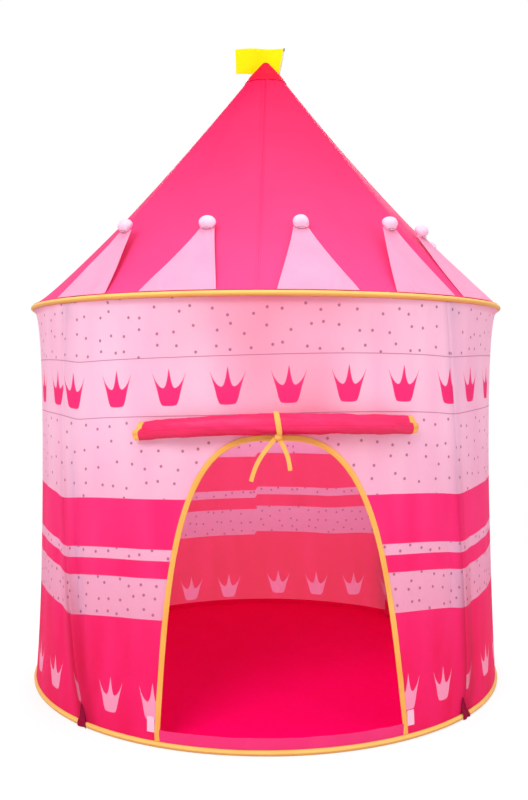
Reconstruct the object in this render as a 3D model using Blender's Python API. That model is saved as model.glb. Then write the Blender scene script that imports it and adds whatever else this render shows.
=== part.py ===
"""Castle play tent: two sprung hoops in tape casings, four corner poles, cloth wall and cone roof.

Metres, +Z up, the doorway faces -Y. The origin is on the ground at the middle of the floor.
Azimuths are in degrees from the front (-Y) towards the right (+X).
"""
import math

import bpy
from mathutils import Vector

# Hoops, wall and roof
HOOP_RADIUS = 0.525
HOOP_WIRE_RADIUS = 0.0016
CASING_RADIUS = 0.0055
CASING_JOIN_AZIMUTH = 135.0
CASING_JOIN_ANGLE = 1.0
WALL_HEIGHT = 0.816
WALL_WAIST = 0.022
WAIST_LOW_POWER = 0.9
WAIST_HIGH_POWER = 0.4
ROOF_HEIGHT = 0.579
ROOF_SAG = 0.0735
ROOF_SAG_END_SHARE = 0.93
CLOTH = 0.0012
CLEARANCE = 0.0003

# Poles, with their sockets: the top of the tent is turned a little against its foot
POLE_COUNT = 4
FIRST_POLE_AZIMUTH = 45.0
TOP_TWIST = -4.9
POLE_RADIUS = 0.0035
SOCKET_WALL = 0.0022
SOCKET_DEPTH = 0.028
FOOT_POCKET_BASE = 0.002
ELBOW_CORE = 0.012
HUB_INSET = 0.009
HUB_LOW_SHARE = 0.905
HUB_HIGH_SHARE = 0.968
HUB_SOCKET_DEPTH = 0.016
ROOF_POLE_BOW = 0.0045

# Roof panels, sewn half-way between the poles, and the doubled point
ROOF_PANEL_TOP_SHARE = 0.955
TIP_LOW_SHARE = 0.90

# Doorway
DOOR_HALF_WIDTH = 0.233
DOOR_SILL_HEIGHT = 0.032
DOOR_TOP_HEIGHT = 0.562
DOOR_TAPER = 0.177
DOOR_ARCH_POWER = 3.4
DOOR_ARCH_ROOT = 1.0 / 3.0
DOOR_FOOT_TURN = 0.65
DOOR_TWIST_SHARE = 0.5
TAPE_WIDTH = 0.011
TAPE = 0.001

# Rolled door, its seam and its tie
ROLL_RADIUS = 0.0175
ROLL_ABOVE_DOOR = 0.0275
ROLL_LEFT_AZIMUTH = -31.0
ROLL_RIGHT_AZIMUTH = 29.2
ROLL_LEFT_DROOP = 0.019
ROLL_RIGHT_DROOP = 0.0065
ROLL_FOLD_DEPTH = 0.0022
ROLL_EDGE_LENGTH = 0.009
ROLL_EDGE_INSET = 0.0012
CURTAIN_HEIGHT = 0.036
TIE_AZIMUTH = -0.9
TIE_WIDTH = 0.010
KNOT_SIZE = (0.009, 0.0075, 0.0065)
LONG_TAIL_REACH = (-0.042, -0.006, -0.074)
SHORT_TAIL_REACH = (0.0185, -0.004, -0.0555)
TAIL_BEND = 0.006

# Pennants along the top hoop: the eleventh of the thirteen places is empty
PENNANT_PLACES = 13
EMPTY_PENNANT_PLACE = 10
FIRST_PENNANT_PLACE = -2
MIDDLE_PENNANT_AZIMUTH = 7.0
PENNANT_SHIFTS = (2.7, -0.1, 0.2, -2.8, -10.9, -5.0, -2.0, 1.0, -1.5, 0.5, 1.0, -0.6)
PENNANT_LEANS = (0.9, 0.9, -0.3, 0.4, -3.5, -1.2, 1.6, -0.6, 1.0, -1.8, 0.8, -1.0)
PENNANT_BASE = 0.156
PENNANT_TIP = 0.026
PENNANT_SLANT = 0.178
PENNANT = 0.001
PENNANT_CURVE = 1.15
PENNANT_TIP_LIFT = 0.006
BALL_RADIUS = 0.013
BALL_REACH = 0.003

# Flag on its stick behind the point
STICK_AZIMUTH = 143.0
STICK_FOOT_SHARE = 0.912
STICK_RADIUS = 0.0015
STICK_LENGTH = 0.0925
STICK_LEAN = 11.0
FLAG_LENGTH = 0.118
FLAG_HOIST = 0.060
FLAG_DROOP = 4.4
FLAG_WAVE = 0.004

# Mesh fineness
RING_STEPS = 48
CASING_SIDES = 8
WIRE_SIDES = 6
ROD_SIDES = 8
PANEL_STEP = 7.5
WALL_ROWS = 8
ROOF_ROWS = 9
PENNANT_ROWS = 6
PENNANT_COLUMNS = 6
DOOR_COLUMNS = 6
DOOR_ROWS = 9

# Worked out from the sizes above
LOW_HOOP_Z = CASING_RADIUS
HIGH_HOOP_Z = LOW_HOOP_Z + WALL_HEIGHT
WALL_LOW_Z = LOW_HOOP_Z + CASING_RADIUS + CLEARANCE
WALL_HIGH_Z = HIGH_HOOP_Z - CASING_RADIUS - CLEARANCE
ROOF_LOW_Z = HIGH_HOOP_Z + CASING_RADIUS + CLEARANCE + CLOTH / 2
APEX_Z = HIGH_HOOP_Z + ROOF_HEIGHT
BAY_ANGLE = 360.0 / POLE_COUNT
CASING_BORE = (HOOP_WIRE_RADIUS + CLEARANCE) / math.cos(math.pi / CASING_SIDES)
SOCKET_BORE = (POLE_RADIUS + CLEARANCE) / math.cos(math.pi / ROD_SIDES)
SOCKET_RADIUS = SOCKET_BORE + SOCKET_WALL
POLE_LINE_RADIUS = HOOP_RADIUS - CASING_RADIUS - CLEARANCE - SOCKET_RADIUS
SLANT = math.hypot(HOOP_RADIUS, APEX_Z - ROOF_LOW_Z)
ROOF_OUTWARD = (APEX_Z - ROOF_LOW_Z) / SLANT
ROOF_UPWARD = HOOP_RADIUS / SLANT
ROLL_HEIGHT = DOOR_TOP_HEIGHT + ROLL_ABOVE_DOOR
CURTAIN_LOW = DOOR_TOP_HEIGHT + TAPE_WIDTH + CLEARANCE
SEWN_LIFT = CLOTH / 2 + 2.0 * CLEARANCE + TAPE / 2
POLE_AZIMUTHS = [FIRST_POLE_AZIMUTH + BAY_ANGLE * bay for bay in range(POLE_COUNT)]
POLE_NAMES = ("front_right", "rear_right", "rear_left", "front_left")

HOT_PINK = (0.93, 0.045, 0.19)
LIGHT_PINK = (0.94, 0.55, 0.72)
TIP_RED = (0.90, 0.02, 0.06)
FLOOR_RED = (0.85, 0.01, 0.09)
TAPE_ORANGE = (0.95, 0.52, 0.12)
FLAG_YELLOW = (0.95, 0.86, 0.02)
STEEL_GREY = (0.55, 0.56, 0.58)
POLE_WHITE = (0.86, 0.86, 0.84)
PLASTIC_BLACK = (0.04, 0.04, 0.045)


def clear_scene():
    for item in list(bpy.data.objects):
        bpy.data.objects.remove(item, do_unlink=True)


def make_material(name, colour, roughness=0.75, metallic=0.0):
    material = bpy.data.materials.new(name)
    material.use_nodes = True
    shader = material.node_tree.nodes["Principled BSDF"]
    shader.inputs["Base Color"].default_value = (*colour, 1.0)
    shader.inputs["Roughness"].default_value = roughness
    shader.inputs["Metallic"].default_value = metallic
    material.diffuse_color = (*colour, 1.0)
    return material


def signed_volume(points, faces):
    total = 0.0
    for face in faces:
        first = points[face[0]]
        for second, third in zip(face[1:], face[2:]):
            total += first.dot(points[second].cross(points[third]))
    return total / 6.0


def make_object(name, points, faces, material, origin=(0.0, 0.0, 0.0), parent=None):
    """Link one closed mesh, given in world space, with its origin where it turns."""
    origin = Vector(origin)
    if signed_volume(points, faces) < 0.0:
        faces = [tuple(reversed(face)) for face in faces]
    mesh = bpy.data.meshes.new(name)
    mesh.from_pydata([point - origin for point in points], [], faces)
    mesh.materials.append(material)
    mesh.shade_smooth()
    mesh.set_sharp_from_angle(angle=math.radians(35.0))
    item = bpy.data.objects.new(name, mesh)
    bpy.context.scene.collection.objects.link(item)
    item.location = origin
    if parent is not None:
        item.parent = parent
        item.location = origin - parent.location
    return item


def hide_helper(item):
    """Mark a cutter or a shape that only serves another object's modifier."""
    item.hide_render = True
    item.display_type = "WIRE"


def azimuth_point(radius, azimuth, z):
    angle = math.radians(azimuth)
    return Vector((radius * math.sin(angle), -radius * math.cos(angle), z))


def outward(azimuth):
    return azimuth_point(1.0, azimuth, 0.0)


def twist(z):
    """How far the poles are turned at a height, from none at the lower hoop."""
    return TOP_TWIST * min(1.0, max(0.0, (z - LOW_HOOP_Z) / WALL_HEIGHT))


def between_poles(azimuth, z):
    """0 over a pole and 1 half-way between two poles."""
    turn = (azimuth - twist(z) - FIRST_POLE_AZIMUTH) % BAY_ANGLE
    return math.sin(math.pi * turn / BAY_ANGLE)


def waist_share(height):
    """How far the cloth is drawn in at a share of its height, before it is scaled."""
    height = min(1.0, max(0.0, height))
    return height ** WAIST_LOW_POWER * (1.0 - height) ** WAIST_HIGH_POWER


def wall_radius(azimuth, z):
    """The cloth's middle: drawn in between the poles, most at two thirds of its height."""
    deepest = waist_share(WAIST_LOW_POWER / (WAIST_LOW_POWER + WAIST_HIGH_POWER))
    waist = waist_share((z - WALL_LOW_Z) / (WALL_HIGH_Z - WALL_LOW_Z)) / deepest
    return HOOP_RADIUS - WALL_WAIST * between_poles(azimuth, z) * waist


def wall_point(azimuth, z, lift=0.0):
    return azimuth_point(wall_radius(azimuth, z) + lift, azimuth, z)


def roof_radius(azimuth, rise):
    """The cloth's middle, straight over a pole and hollow between two; rise is 1 at the point."""
    hollow = rise ** 0.45 * max(0.0, 1.0 - (rise / ROOF_SAG_END_SHARE) ** 2)
    return HOOP_RADIUS * (1.0 - rise) - ROOF_SAG * between_poles(azimuth, APEX_Z) * hollow


def roof_normal(azimuth):
    return outward(azimuth) * ROOF_OUTWARD + Vector((0.0, 0.0, ROOF_UPWARD))


def roof_point(azimuth, rise, lift=0.0):
    z = ROOF_LOW_Z + (APEX_Z - ROOF_LOW_Z) * rise
    return azimuth_point(roof_radius(azimuth, rise), azimuth, z) + roof_normal(azimuth) * lift


def roof_row_rise(row):
    return ROOF_PANEL_TOP_SHARE * (row / ROOF_ROWS) ** 1.4


def flat_roof_radius(azimuth, rise):
    """The roof's radius on the flat facets between two of its rows of points."""
    for row in range(ROOF_ROWS):
        low, high = roof_row_rise(row), roof_row_rise(row + 1)
        if rise <= high:
            share = (rise - low) / (high - low)
            return roof_radius(azimuth, low) * (1.0 - share) + roof_radius(azimuth, high) * share
    return roof_radius(azimuth, rise)


def spread(start, end, step):
    """Azimuths from start to end no further apart than step, with one on each roof pole between."""
    stops = [start]
    for bay in range(-POLE_COUNT, 2 * POLE_COUNT):
        pole = FIRST_POLE_AZIMUTH + TOP_TWIST + BAY_ANGLE * bay
        if start + 0.5 < pole < end - 0.5:
            stops.append(pole)
    stops.append(end)
    azimuths = [start]
    for low, high in zip(stops, stops[1:]):
        count = max(1, math.ceil((high - low) / step - 1e-6))
        azimuths += [low + (high - low) * (index + 1) / count for index in range(count)]
    return azimuths


def grid(rows, columns, closed=False):
    """Faces of a grid of points stored row by row."""
    faces = []
    last = columns if closed else columns - 1
    for row in range(rows - 1):
        for column in range(last):
            after = (column + 1) % columns
            low = row * columns
            high = low + columns
            faces.append((low + column, low + after, high + after, high + column))
    return faces


def thick_sheet(points, normals, faces, thickness):
    """A closed solid with half its thickness on each side of a sheet's middle surface."""
    count = len(points)
    solid = [point + normal * thickness / 2 for point, normal in zip(points, normals)]
    solid += [point - normal * thickness / 2 for point, normal in zip(points, normals)]
    sides = list(faces)
    sides += [tuple(index + count for index in reversed(face)) for face in faces]
    edges = set()
    for face in faces:
        edges.update(zip(face, face[1:] + face[:1]))
    sides += [(b, a, a + count, b + count) for a, b in sorted(edges) if (b, a) not in edges]
    return solid, sides


def merge(parts):
    """Join sheets that share some points into one list of points, normals and faces."""
    points, normals, faces, known = [], [], [], {}
    for part_points, part_normals, part_faces in parts:
        index = []
        for point, normal in zip(part_points, part_normals):
            key = tuple(round(value, 6) for value in point)
            if key not in known:
                known[key] = len(points)
                points.append(point)
                normals.append(normal)
            index.append(known[key])
        faces += [tuple(index[corner] for corner in face) for face in part_faces]
    return points, normals, faces


def circle(centre, radius, side, up, sides, turn=0.5):
    """Points round a circle whose plane holds the unit vectors side and up."""
    points = []
    for index in range(sides):
        angle = 2.0 * math.pi * (index + turn) / sides
        points.append(centre + side * (radius * math.cos(angle)) + up * (radius * math.sin(angle)))
    return points


def skin(rings):
    """A closed solid through equal rings, with a flat face on the first and the last."""
    sides = len(rings[0])
    points = [point for ring in rings for point in ring]
    faces = grid(len(rings), sides, closed=True)
    faces.append(tuple(reversed(range(sides))))
    last = len(points) - sides
    faces.append(tuple(range(last, last + sides)))
    return points, faces


def path_frames(path):
    """For each point of a path, unit vectors across it that turn as little as they can."""
    frames = []
    side = None
    for index, point in enumerate(path):
        before = path[max(0, index - 1)]
        after = path[min(len(path) - 1, index + 1)]
        along = (after - before).normalized()
        if side is None:
            guess = Vector((0.0, 0.0, 1.0)) if abs(along.z) < 0.9 else Vector((1.0, 0.0, 0.0))
            side = guess.cross(along).normalized()
        side = (side - along * side.dot(along)).normalized()
        frames.append((point, side, along.cross(side)))
    return frames


def rod(path, radius, sides=ROD_SIDES):
    rings = [circle(point, radius, side, up, sides) for point, side, up in path_frames(path)]
    return skin(rings)


def add_ring(name, z, radius, material):
    """A closed round wire at the hoop radius."""
    points = []
    for step in range(RING_STEPS):
        azimuth = 360.0 * step / RING_STEPS
        centre = azimuth_point(HOOP_RADIUS, azimuth, z)
        points += circle(centre, radius, outward(azimuth), Vector((0.0, 0.0, 1.0)), WIRE_SIDES)
    faces = grid(RING_STEPS, WIRE_SIDES, closed=True)
    last = (RING_STEPS - 1) * WIRE_SIDES
    for side in range(WIRE_SIDES):
        after = (side + 1) % WIRE_SIDES
        faces.append((last + side, last + after, after, side))
    return make_object(name, points, faces, material)


def add_casing(name, z, material):
    """The tape tube round a hoop, open at a rear pole where its two ends meet."""
    outer_radius = CASING_RADIUS / math.cos(math.pi / CASING_SIDES)
    start = CASING_JOIN_AZIMUTH + CASING_JOIN_ANGLE / 2
    turn = 360.0 - CASING_JOIN_ANGLE
    up = Vector((0.0, 0.0, 1.0))
    points = []
    for radius in (outer_radius, CASING_BORE):
        for step in range(RING_STEPS + 1):
            azimuth = start + turn * step / RING_STEPS
            centre = azimuth_point(HOOP_RADIUS, azimuth, z)
            points += circle(centre, radius, outward(azimuth), up, CASING_SIDES)
    tube = grid(RING_STEPS + 1, CASING_SIDES, closed=True)
    count = (RING_STEPS + 1) * CASING_SIDES
    faces = list(tube)
    faces += [tuple(index + count for index in reversed(face)) for face in tube]
    last = RING_STEPS * CASING_SIDES
    for side in range(CASING_SIDES):
        after = (side + 1) % CASING_SIDES
        faces.append((after, side, side + count, after + count))
        faces.append((last + side, last + after, last + after + count, last + side + count))
    return make_object(name, points, faces, material)


def add_floor(material):
    """The ground sheet, which ends against the lower casing's slanted inner side."""
    slant_start = CASING_RADIUS * math.tan(math.pi / CASING_SIDES)
    radius = HOOP_RADIUS - slant_start - CLOTH - CLEARANCE / math.cos(math.radians(45.0))
    rings = []
    for z in (0.0, CLOTH):
        rings.append([azimuth_point(radius, 360.0 * step / RING_STEPS, z) for step in range(RING_STEPS)])
    points, faces = skin(rings)
    return make_object("floor_sheet", points, faces, material)


def wall_sheet(azimuth_rows):
    """Points, normals and faces of wall cloth from rows of (azimuths, z)."""
    points, normals = [], []
    for azimuths, z in azimuth_rows:
        points += [wall_point(azimuth, z) for azimuth in azimuths]
        normals += [outward(azimuth) for azimuth in azimuths]
    return points, normals, grid(len(azimuth_rows), len(azimuth_rows[0][0]))


def wall_bay(bay):
    """First and last azimuth of a wall panel at its foot. It runs from one pole to the next."""
    edge = math.degrees(CLEARANCE / 2 / HOOP_RADIUS)
    start = FIRST_POLE_AZIMUTH + BAY_ANGLE * bay
    return start + edge, start + BAY_ANGLE - edge


def wall_heights(low, count):
    """Heights from low to the wall's top, closer together near the top, where it curves in."""
    return [low + (WALL_HIGH_Z - low) * (1.0 - (1.0 - row / count) ** 1.5) for row in range(count + 1)]


def add_wall_panel(name, bay, material):
    start, end = wall_bay(bay)
    columns = round(BAY_ANGLE / PANEL_STEP)
    foot = [start + (end - start) * column / columns for column in range(columns + 1)]
    rows = [([azimuth + twist(z) for azimuth in foot], z) for z in wall_heights(WALL_LOW_Z, WALL_ROWS)]
    solid, faces = thick_sheet(*wall_sheet(rows), CLOTH)
    return make_object(name, solid, faces, material)


def door_half_angle(z):
    """Half the doorway's width at a height, as an azimuth."""
    rise = (z - DOOR_SILL_HEIGHT) / (DOOR_TOP_HEIGHT - DOOR_SILL_HEIGHT)
    rise = min(1.0, max(0.0, rise))
    arch = (1.0 - rise ** DOOR_ARCH_POWER) ** DOOR_ARCH_ROOT
    return math.degrees(DOOR_HALF_WIDTH * (1.0 - DOOR_TAPER * rise) * arch / HOOP_RADIUS)


def door_middle(z):
    """The azimuth of the doorway's middle line, which leans with the turned wall."""
    return DOOR_FOOT_TURN + DOOR_TWIST_SHARE * twist(z)


def door_heights():
    """Heights up the doorway's side, closer together towards the top of the arch."""
    heights = [WALL_LOW_Z]
    for row in range(DOOR_ROWS + 1):
        rise = 1.0 - (1.0 - row / DOOR_ROWS) ** 2
        heights.append(DOOR_SILL_HEIGHT + (DOOR_TOP_HEIGHT - DOOR_SILL_HEIGHT) * rise)
    return heights


def add_front_wall(material):
    """The front panel, cut out by the doorway down to the lower hoop."""
    start, end = wall_bay(-1)
    heights = door_heights() + wall_heights(DOOR_TOP_HEIGHT, 4)[1:]
    halves = []
    for edge, side in ((start, -1.0), (end, 1.0)):
        rows = []
        for z in heights:
            door = door_middle(z) + side * door_half_angle(z)
            pole = edge + twist(z)
            azimuths = [pole + (door - pole) * column / DOOR_COLUMNS for column in range(DOOR_COLUMNS + 1)]
            if side > 0.0:
                azimuths.reverse()
            rows.append((azimuths, z))
        halves.append(wall_sheet(rows))
    solid, faces = thick_sheet(*merge(halves), CLOTH)
    return make_object("wall_front", solid, faces, material)


def door_outline():
    """Points (arc length, z) up the left side of the doorway, over the arch and down again."""
    heights = door_heights()
    left = [(math.radians(door_middle(z) - door_half_angle(z)) * HOOP_RADIUS, z) for z in heights]
    right = [(math.radians(door_middle(z) + door_half_angle(z)) * HOOP_RADIUS, z) for z in heights[:-1]]
    return left + right[::-1]


def add_door_binding(material):
    """Tape along the doorway's edge, on the outside of the wall."""
    outline = door_outline()
    points, normals = [], []
    for index, (x, z) in enumerate(outline):
        before = outline[max(0, index - 1)]
        after = outline[min(len(outline) - 1, index + 1)]
        along = Vector((after[0] - before[0], after[1] - before[1])).normalized()
        across = Vector((-along.y, along.x))
        for step in (1.0, 0.5, 0.0):
            arc = x + across.x * TAPE_WIDTH * step
            azimuth = math.degrees(arc / HOOP_RADIUS)
            height = max(WALL_LOW_Z, z + across.y * TAPE_WIDTH * step)
            points.append(wall_point(azimuth, height, SEWN_LIFT))
            normals.append(outward(azimuth))
    solid, faces = thick_sheet(points, normals, grid(len(outline), 3), TAPE)
    return make_object("door_binding", solid, faces, material)


def add_door_sill(material):
    """The low strip of wall cloth left across the bottom of the doorway."""
    side = door_half_angle(DOOR_SILL_HEIGHT) - math.degrees(CLEARANCE / HOOP_RADIUS)
    turns = spread(-side, side, PANEL_STEP)
    rows = [([door_middle(z) + turn for turn in turns], z) for z in (WALL_LOW_Z, DOOR_SILL_HEIGHT)]
    solid, faces = thick_sheet(*wall_sheet(rows), CLOTH)
    return make_object("door_sill", solid, faces, material)


def add_roof_panel(name, pole_azimuth, material):
    """A panel whose two seams lie half-way to the poles on either side of its own."""
    start = pole_azimuth + TOP_TWIST - BAY_ANGLE / 2
    end = start + BAY_ANGLE
    azimuths = spread(start, end, PANEL_STEP)
    points, normals = [], []
    for row in range(ROOF_ROWS + 1):
        rise = roof_row_rise(row)
        radius = roof_radius(start, rise)
        edge = math.degrees(CLEARANCE / 2 / radius)
        share = 1.0 - 2.0 * edge / (end - start)
        for azimuth in azimuths:
            inset = start + edge + (azimuth - start) * share
            points.append(roof_point(inset, rise))
            normals.append(roof_normal(inset))
    solid, faces = thick_sheet(points, normals, grid(ROOF_ROWS + 1, len(azimuths)), CLOTH)
    return make_object(name, solid, faces, material)


def add_roof_tip(material):
    """A doubled cone of cloth over the point of the roof."""
    rises = (TIP_LOW_SHARE, 0.94, 0.975)
    first = FIRST_POLE_AZIMUTH + TOP_TWIST
    azimuths = spread(first, first + 360.0, PANEL_STEP)[:-1]
    low_lift = CLOTH / 2 + CLEARANCE
    high_lift = low_lift + CLOTH
    rings = []
    for rise in rises:
        rings.append([roof_point(azimuth, rise, high_lift) for azimuth in azimuths])
    for rise in reversed(rises):
        rings.append([roof_point(azimuth, rise, low_lift) for azimuth in azimuths])
    count = len(azimuths)
    points = [point for ring in rings for point in ring]
    top = len(rises) * count
    outer_faces = grid(len(rises), count, closed=True)
    inner_faces = [tuple(index + top for index in face) for face in outer_faces]
    outer_point = len(points)
    points.append(Vector((0.0, 0.0, APEX_Z + high_lift / ROOF_UPWARD)))
    points.append(Vector((0.0, 0.0, APEX_Z + low_lift / ROOF_UPWARD)))
    faces = outer_faces + inner_faces
    rim = len(points) - 2 - count
    for column in range(count):
        after = (column + 1) % count
        faces.append((top - count + column, top - count + after, outer_point))
        faces.append((top + after, top + column, outer_point + 1))
        faces.append((after, column, rim + column, rim + after))
    return make_object("roof_tip", points, faces, material)


def bowed_path(start, end, bow, steps=8):
    """A rod's centre line from start to end, bent out by bow at its middle."""
    path = []
    for step in range(steps + 1):
        share = step / steps
        path.append(start.lerp(end, share) + bow * math.sin(math.pi * share))
    return path


def wall_pole_ends(azimuth):
    """Where a wall pole stands in its foot pocket and ends in its elbow, and its direction."""
    low = azimuth_point(POLE_LINE_RADIUS, azimuth, CLOTH + FOOT_POCKET_BASE + 2.0 * CLEARANCE)
    bend = azimuth_point(POLE_LINE_RADIUS, azimuth + TOP_TWIST, HIGH_HOOP_Z)
    along = (bend - low).normalized()
    return low, bend - along * ELBOW_CORE, along


def roof_pole_ends(azimuth):
    """Where a roof pole leaves its elbow and ends in the hub, and its direction."""
    top_azimuth = azimuth + TOP_TWIST
    bend = azimuth_point(POLE_LINE_RADIUS, top_azimuth, HIGH_HOOP_Z)
    hub_mouth = roof_point(top_azimuth, HUB_LOW_SHARE)
    hub_mouth -= outward(top_azimuth) * (HUB_INSET + 2.0 * POLE_RADIUS)
    along = (hub_mouth - bend).normalized()
    high = hub_mouth + along * (HUB_SOCKET_DEPTH - CLEARANCE)
    return bend + along * ELBOW_CORE, high, along


def add_pole(name, ends, bow, material):
    """A rod that is straight in its two sockets and bowed between them."""
    low, high, along = ends
    straight = along * SOCKET_DEPTH
    path = [low] + bowed_path(low + straight, high - straight, bow) + [high]
    points, faces = rod(path, POLE_RADIUS)
    return make_object(name, points, faces, material)


def add_poles(material):
    wall_bow = HOOP_RADIUS - CLOTH / 2 - CLEARANCE - POLE_RADIUS - POLE_LINE_RADIUS
    for azimuth, corner in zip(POLE_AZIMUTHS, POLE_NAMES):
        bow = outward(azimuth + TOP_TWIST / 2) * wall_bow
        add_pole("wall_pole_" + corner, wall_pole_ends(azimuth), bow, material)
        bow = roof_normal(azimuth + TOP_TWIST) * ROOF_POLE_BOW
        add_pole("roof_pole_" + corner, roof_pole_ends(azimuth), bow, material)


def axes_across(along, side):
    """Two unit vectors across a direction, the first as near to side as it can be."""
    side = (side - along * side.dot(along)).normalized()
    return side, side.cross(along)


def elbow_solid(azimuth):
    """A bent plastic joint at the top hoop with a blind socket at each end."""
    _, wall_end, rise = wall_pole_ends(azimuth)
    roof_start, _, along = roof_pole_ends(azimuth)
    bend = azimuth_point(POLE_LINE_RADIUS, azimuth + TOP_TWIST, HIGH_HOOP_Z)
    tangent = Vector((0.0, 0.0, 1.0)).cross(outward(azimuth + TOP_TWIST))
    low_side, low_up = axes_across(rise, tangent)
    middle_side, middle_up = axes_across((rise + along).normalized(), tangent)
    high_side, high_up = axes_across(along, tangent)
    low_mouth = wall_end - rise * (SOCKET_DEPTH - CLEARANCE)
    high_mouth = roof_start + along * (SOCKET_DEPTH - CLEARANCE)
    rings = [circle(wall_end + rise * CLEARANCE, SOCKET_BORE, low_side, low_up, ROD_SIDES)]
    rings.append(circle(low_mouth, SOCKET_BORE, low_side, low_up, ROD_SIDES))
    rings.append(circle(low_mouth, SOCKET_RADIUS, low_side, low_up, ROD_SIDES))
    rings.append(circle(bend, SOCKET_RADIUS, middle_side, middle_up, ROD_SIDES))
    rings.append(circle(high_mouth, SOCKET_RADIUS, high_side, high_up, ROD_SIDES))
    rings.append(circle(high_mouth, SOCKET_BORE, high_side, high_up, ROD_SIDES))
    rings.append(circle(roof_start - along * CLEARANCE, SOCKET_BORE, high_side, high_up, ROD_SIDES))
    return skin(rings)


def foot_pocket_solid(azimuth):
    """A blind socket that stands on the ground sheet and holds a wall pole's foot."""
    foot, _, rise = wall_pole_ends(azimuth)
    up = Vector((0.0, 0.0, 1.0))
    base = foot - rise * ((foot.z - CLOTH - CLEARANCE) / rise.z)
    mouth = foot + rise * SOCKET_DEPTH
    flat_side, flat_up = axes_across(up, outward(azimuth))
    side, across = axes_across(rise, outward(azimuth))
    rings = [circle(base, SOCKET_RADIUS, flat_side, flat_up, ROD_SIDES)]
    rings.append(circle(mouth, SOCKET_RADIUS, side, across, ROD_SIDES))
    rings.append(circle(mouth, SOCKET_BORE, side, across, ROD_SIDES))
    rings.append(circle(foot - rise * CLEARANCE, SOCKET_BORE, side, across, ROD_SIDES))
    return skin(rings)


def add_apex_hub(material):
    """A plastic plug under the point, with a slanted blind socket for each roof pole."""
    sides = 24
    up = Vector((0.0, 0.0, 1.0))
    rings = []
    for rise in (HUB_LOW_SHARE, HUB_HIGH_SHARE):
        centre = Vector((0.0, 0.0, roof_point(0.0, rise).z))
        radius = HOOP_RADIUS * (1.0 - rise) - HUB_INSET
        rings.append(circle(centre, radius, Vector((1.0, 0.0, 0.0)), Vector((0.0, 1.0, 0.0)), sides))
    points, faces = skin(rings)
    hub = make_object("apex_hub", points, faces, material)
    bores = bpy.data.collections.new("hub_bores")
    bpy.context.scene.collection.children.link(bores)
    for azimuth in POLE_AZIMUTHS:
        _, high, along = roof_pole_ends(azimuth)
        end = high + along * CLEARANCE
        start = end - along * 3.0 * HUB_SOCKET_DEPTH
        points, faces = rod([start, end], SOCKET_BORE)
        bore = make_object("hub_bore", points, faces, material)
        hide_helper(bore)
        bpy.context.scene.collection.objects.unlink(bore)
        bores.objects.link(bore)
    cut = hub.modifiers.new("sockets", "BOOLEAN")
    cut.operation = "DIFFERENCE"
    cut.operand_type = "COLLECTION"
    cut.collection = bores
    cut.solver = "EXACT"
    return hub


def roll_centre(azimuth):
    """The rolled door's centre line, which drops a little towards each end."""
    if azimuth < 0.0:
        droop = ROLL_LEFT_DROOP * (azimuth / ROLL_LEFT_AZIMUTH) ** 2
    else:
        droop = ROLL_RIGHT_DROOP * (azimuth / ROLL_RIGHT_AZIMUTH) ** 2
    stand_off = CLOTH / 2 + 2.0 * TAPE + 4.0 * CLEARANCE + ROLL_RADIUS
    return wall_point(azimuth, ROLL_HEIGHT, stand_off) - Vector((0.0, 0.0, droop))


def roll_section(azimuth, inset=0.0, folded=True):
    """One ring of the roll, with the furrows between its turns of cloth."""
    centre = roll_centre(azimuth)
    side = outward(azimuth)
    up = Vector((0.0, 0.0, 1.0))
    sides = 14
    ring = []
    for index in range(sides):
        angle = 2.0 * math.pi * index / sides
        radius = ROLL_RADIUS - inset
        if folded:
            radius -= ROLL_FOLD_DEPTH * math.sin(1.5 * angle + 0.06 * azimuth) ** 8
        ring.append(centre + side * (radius * math.cos(angle)) + up * (radius * math.sin(angle)))
    return ring


def add_door_roll(cloth, tape):
    """The door rolled up over the doorway, and the tape that binds its two side edges."""
    edge = math.degrees(ROLL_EDGE_LENGTH / HOOP_RADIUS)
    gap = math.degrees(CLEARANCE / HOOP_RADIUS)
    origin = roll_centre(0.0)
    steps = 14
    start = ROLL_LEFT_AZIMUTH + edge + gap
    end = ROLL_RIGHT_AZIMUTH - edge - gap
    rings = [roll_section(start + (end - start) * step / steps) for step in range(steps + 1)]
    points, faces = skin(rings)
    roll = make_object("door_roll", points, faces, cloth, origin)
    for name, azimuth, step in (("left", ROLL_LEFT_AZIMUTH, edge), ("right", ROLL_RIGHT_AZIMUTH, -edge)):
        end_ring = roll_section(azimuth, ROLL_EDGE_INSET, folded=False)
        inner_ring = roll_section(azimuth + step, ROLL_EDGE_INSET / 2, folded=False)
        points, faces = skin([end_ring, inner_ring])
        make_object("door_edge_binding_" + name, points, faces, tape, roll_centre(azimuth), roll)
    return roll


def add_door_curtain(material):
    """The door's top edge, sewn to the wall behind the roll."""
    azimuths = spread(ROLL_LEFT_AZIMUTH + 1.0, ROLL_RIGHT_AZIMUTH - 1.0, PANEL_STEP / 2)
    points, normals = [], []
    for z in (CURTAIN_LOW, CURTAIN_LOW + CURTAIN_HEIGHT):
        points += [wall_point(azimuth, z, SEWN_LIFT) for azimuth in azimuths]
        normals += [outward(azimuth) for azimuth in azimuths]
    solid, faces = thick_sheet(points, normals, grid(2, len(azimuths)), TAPE)
    return make_object("door_curtain", solid, faces, material)


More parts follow.
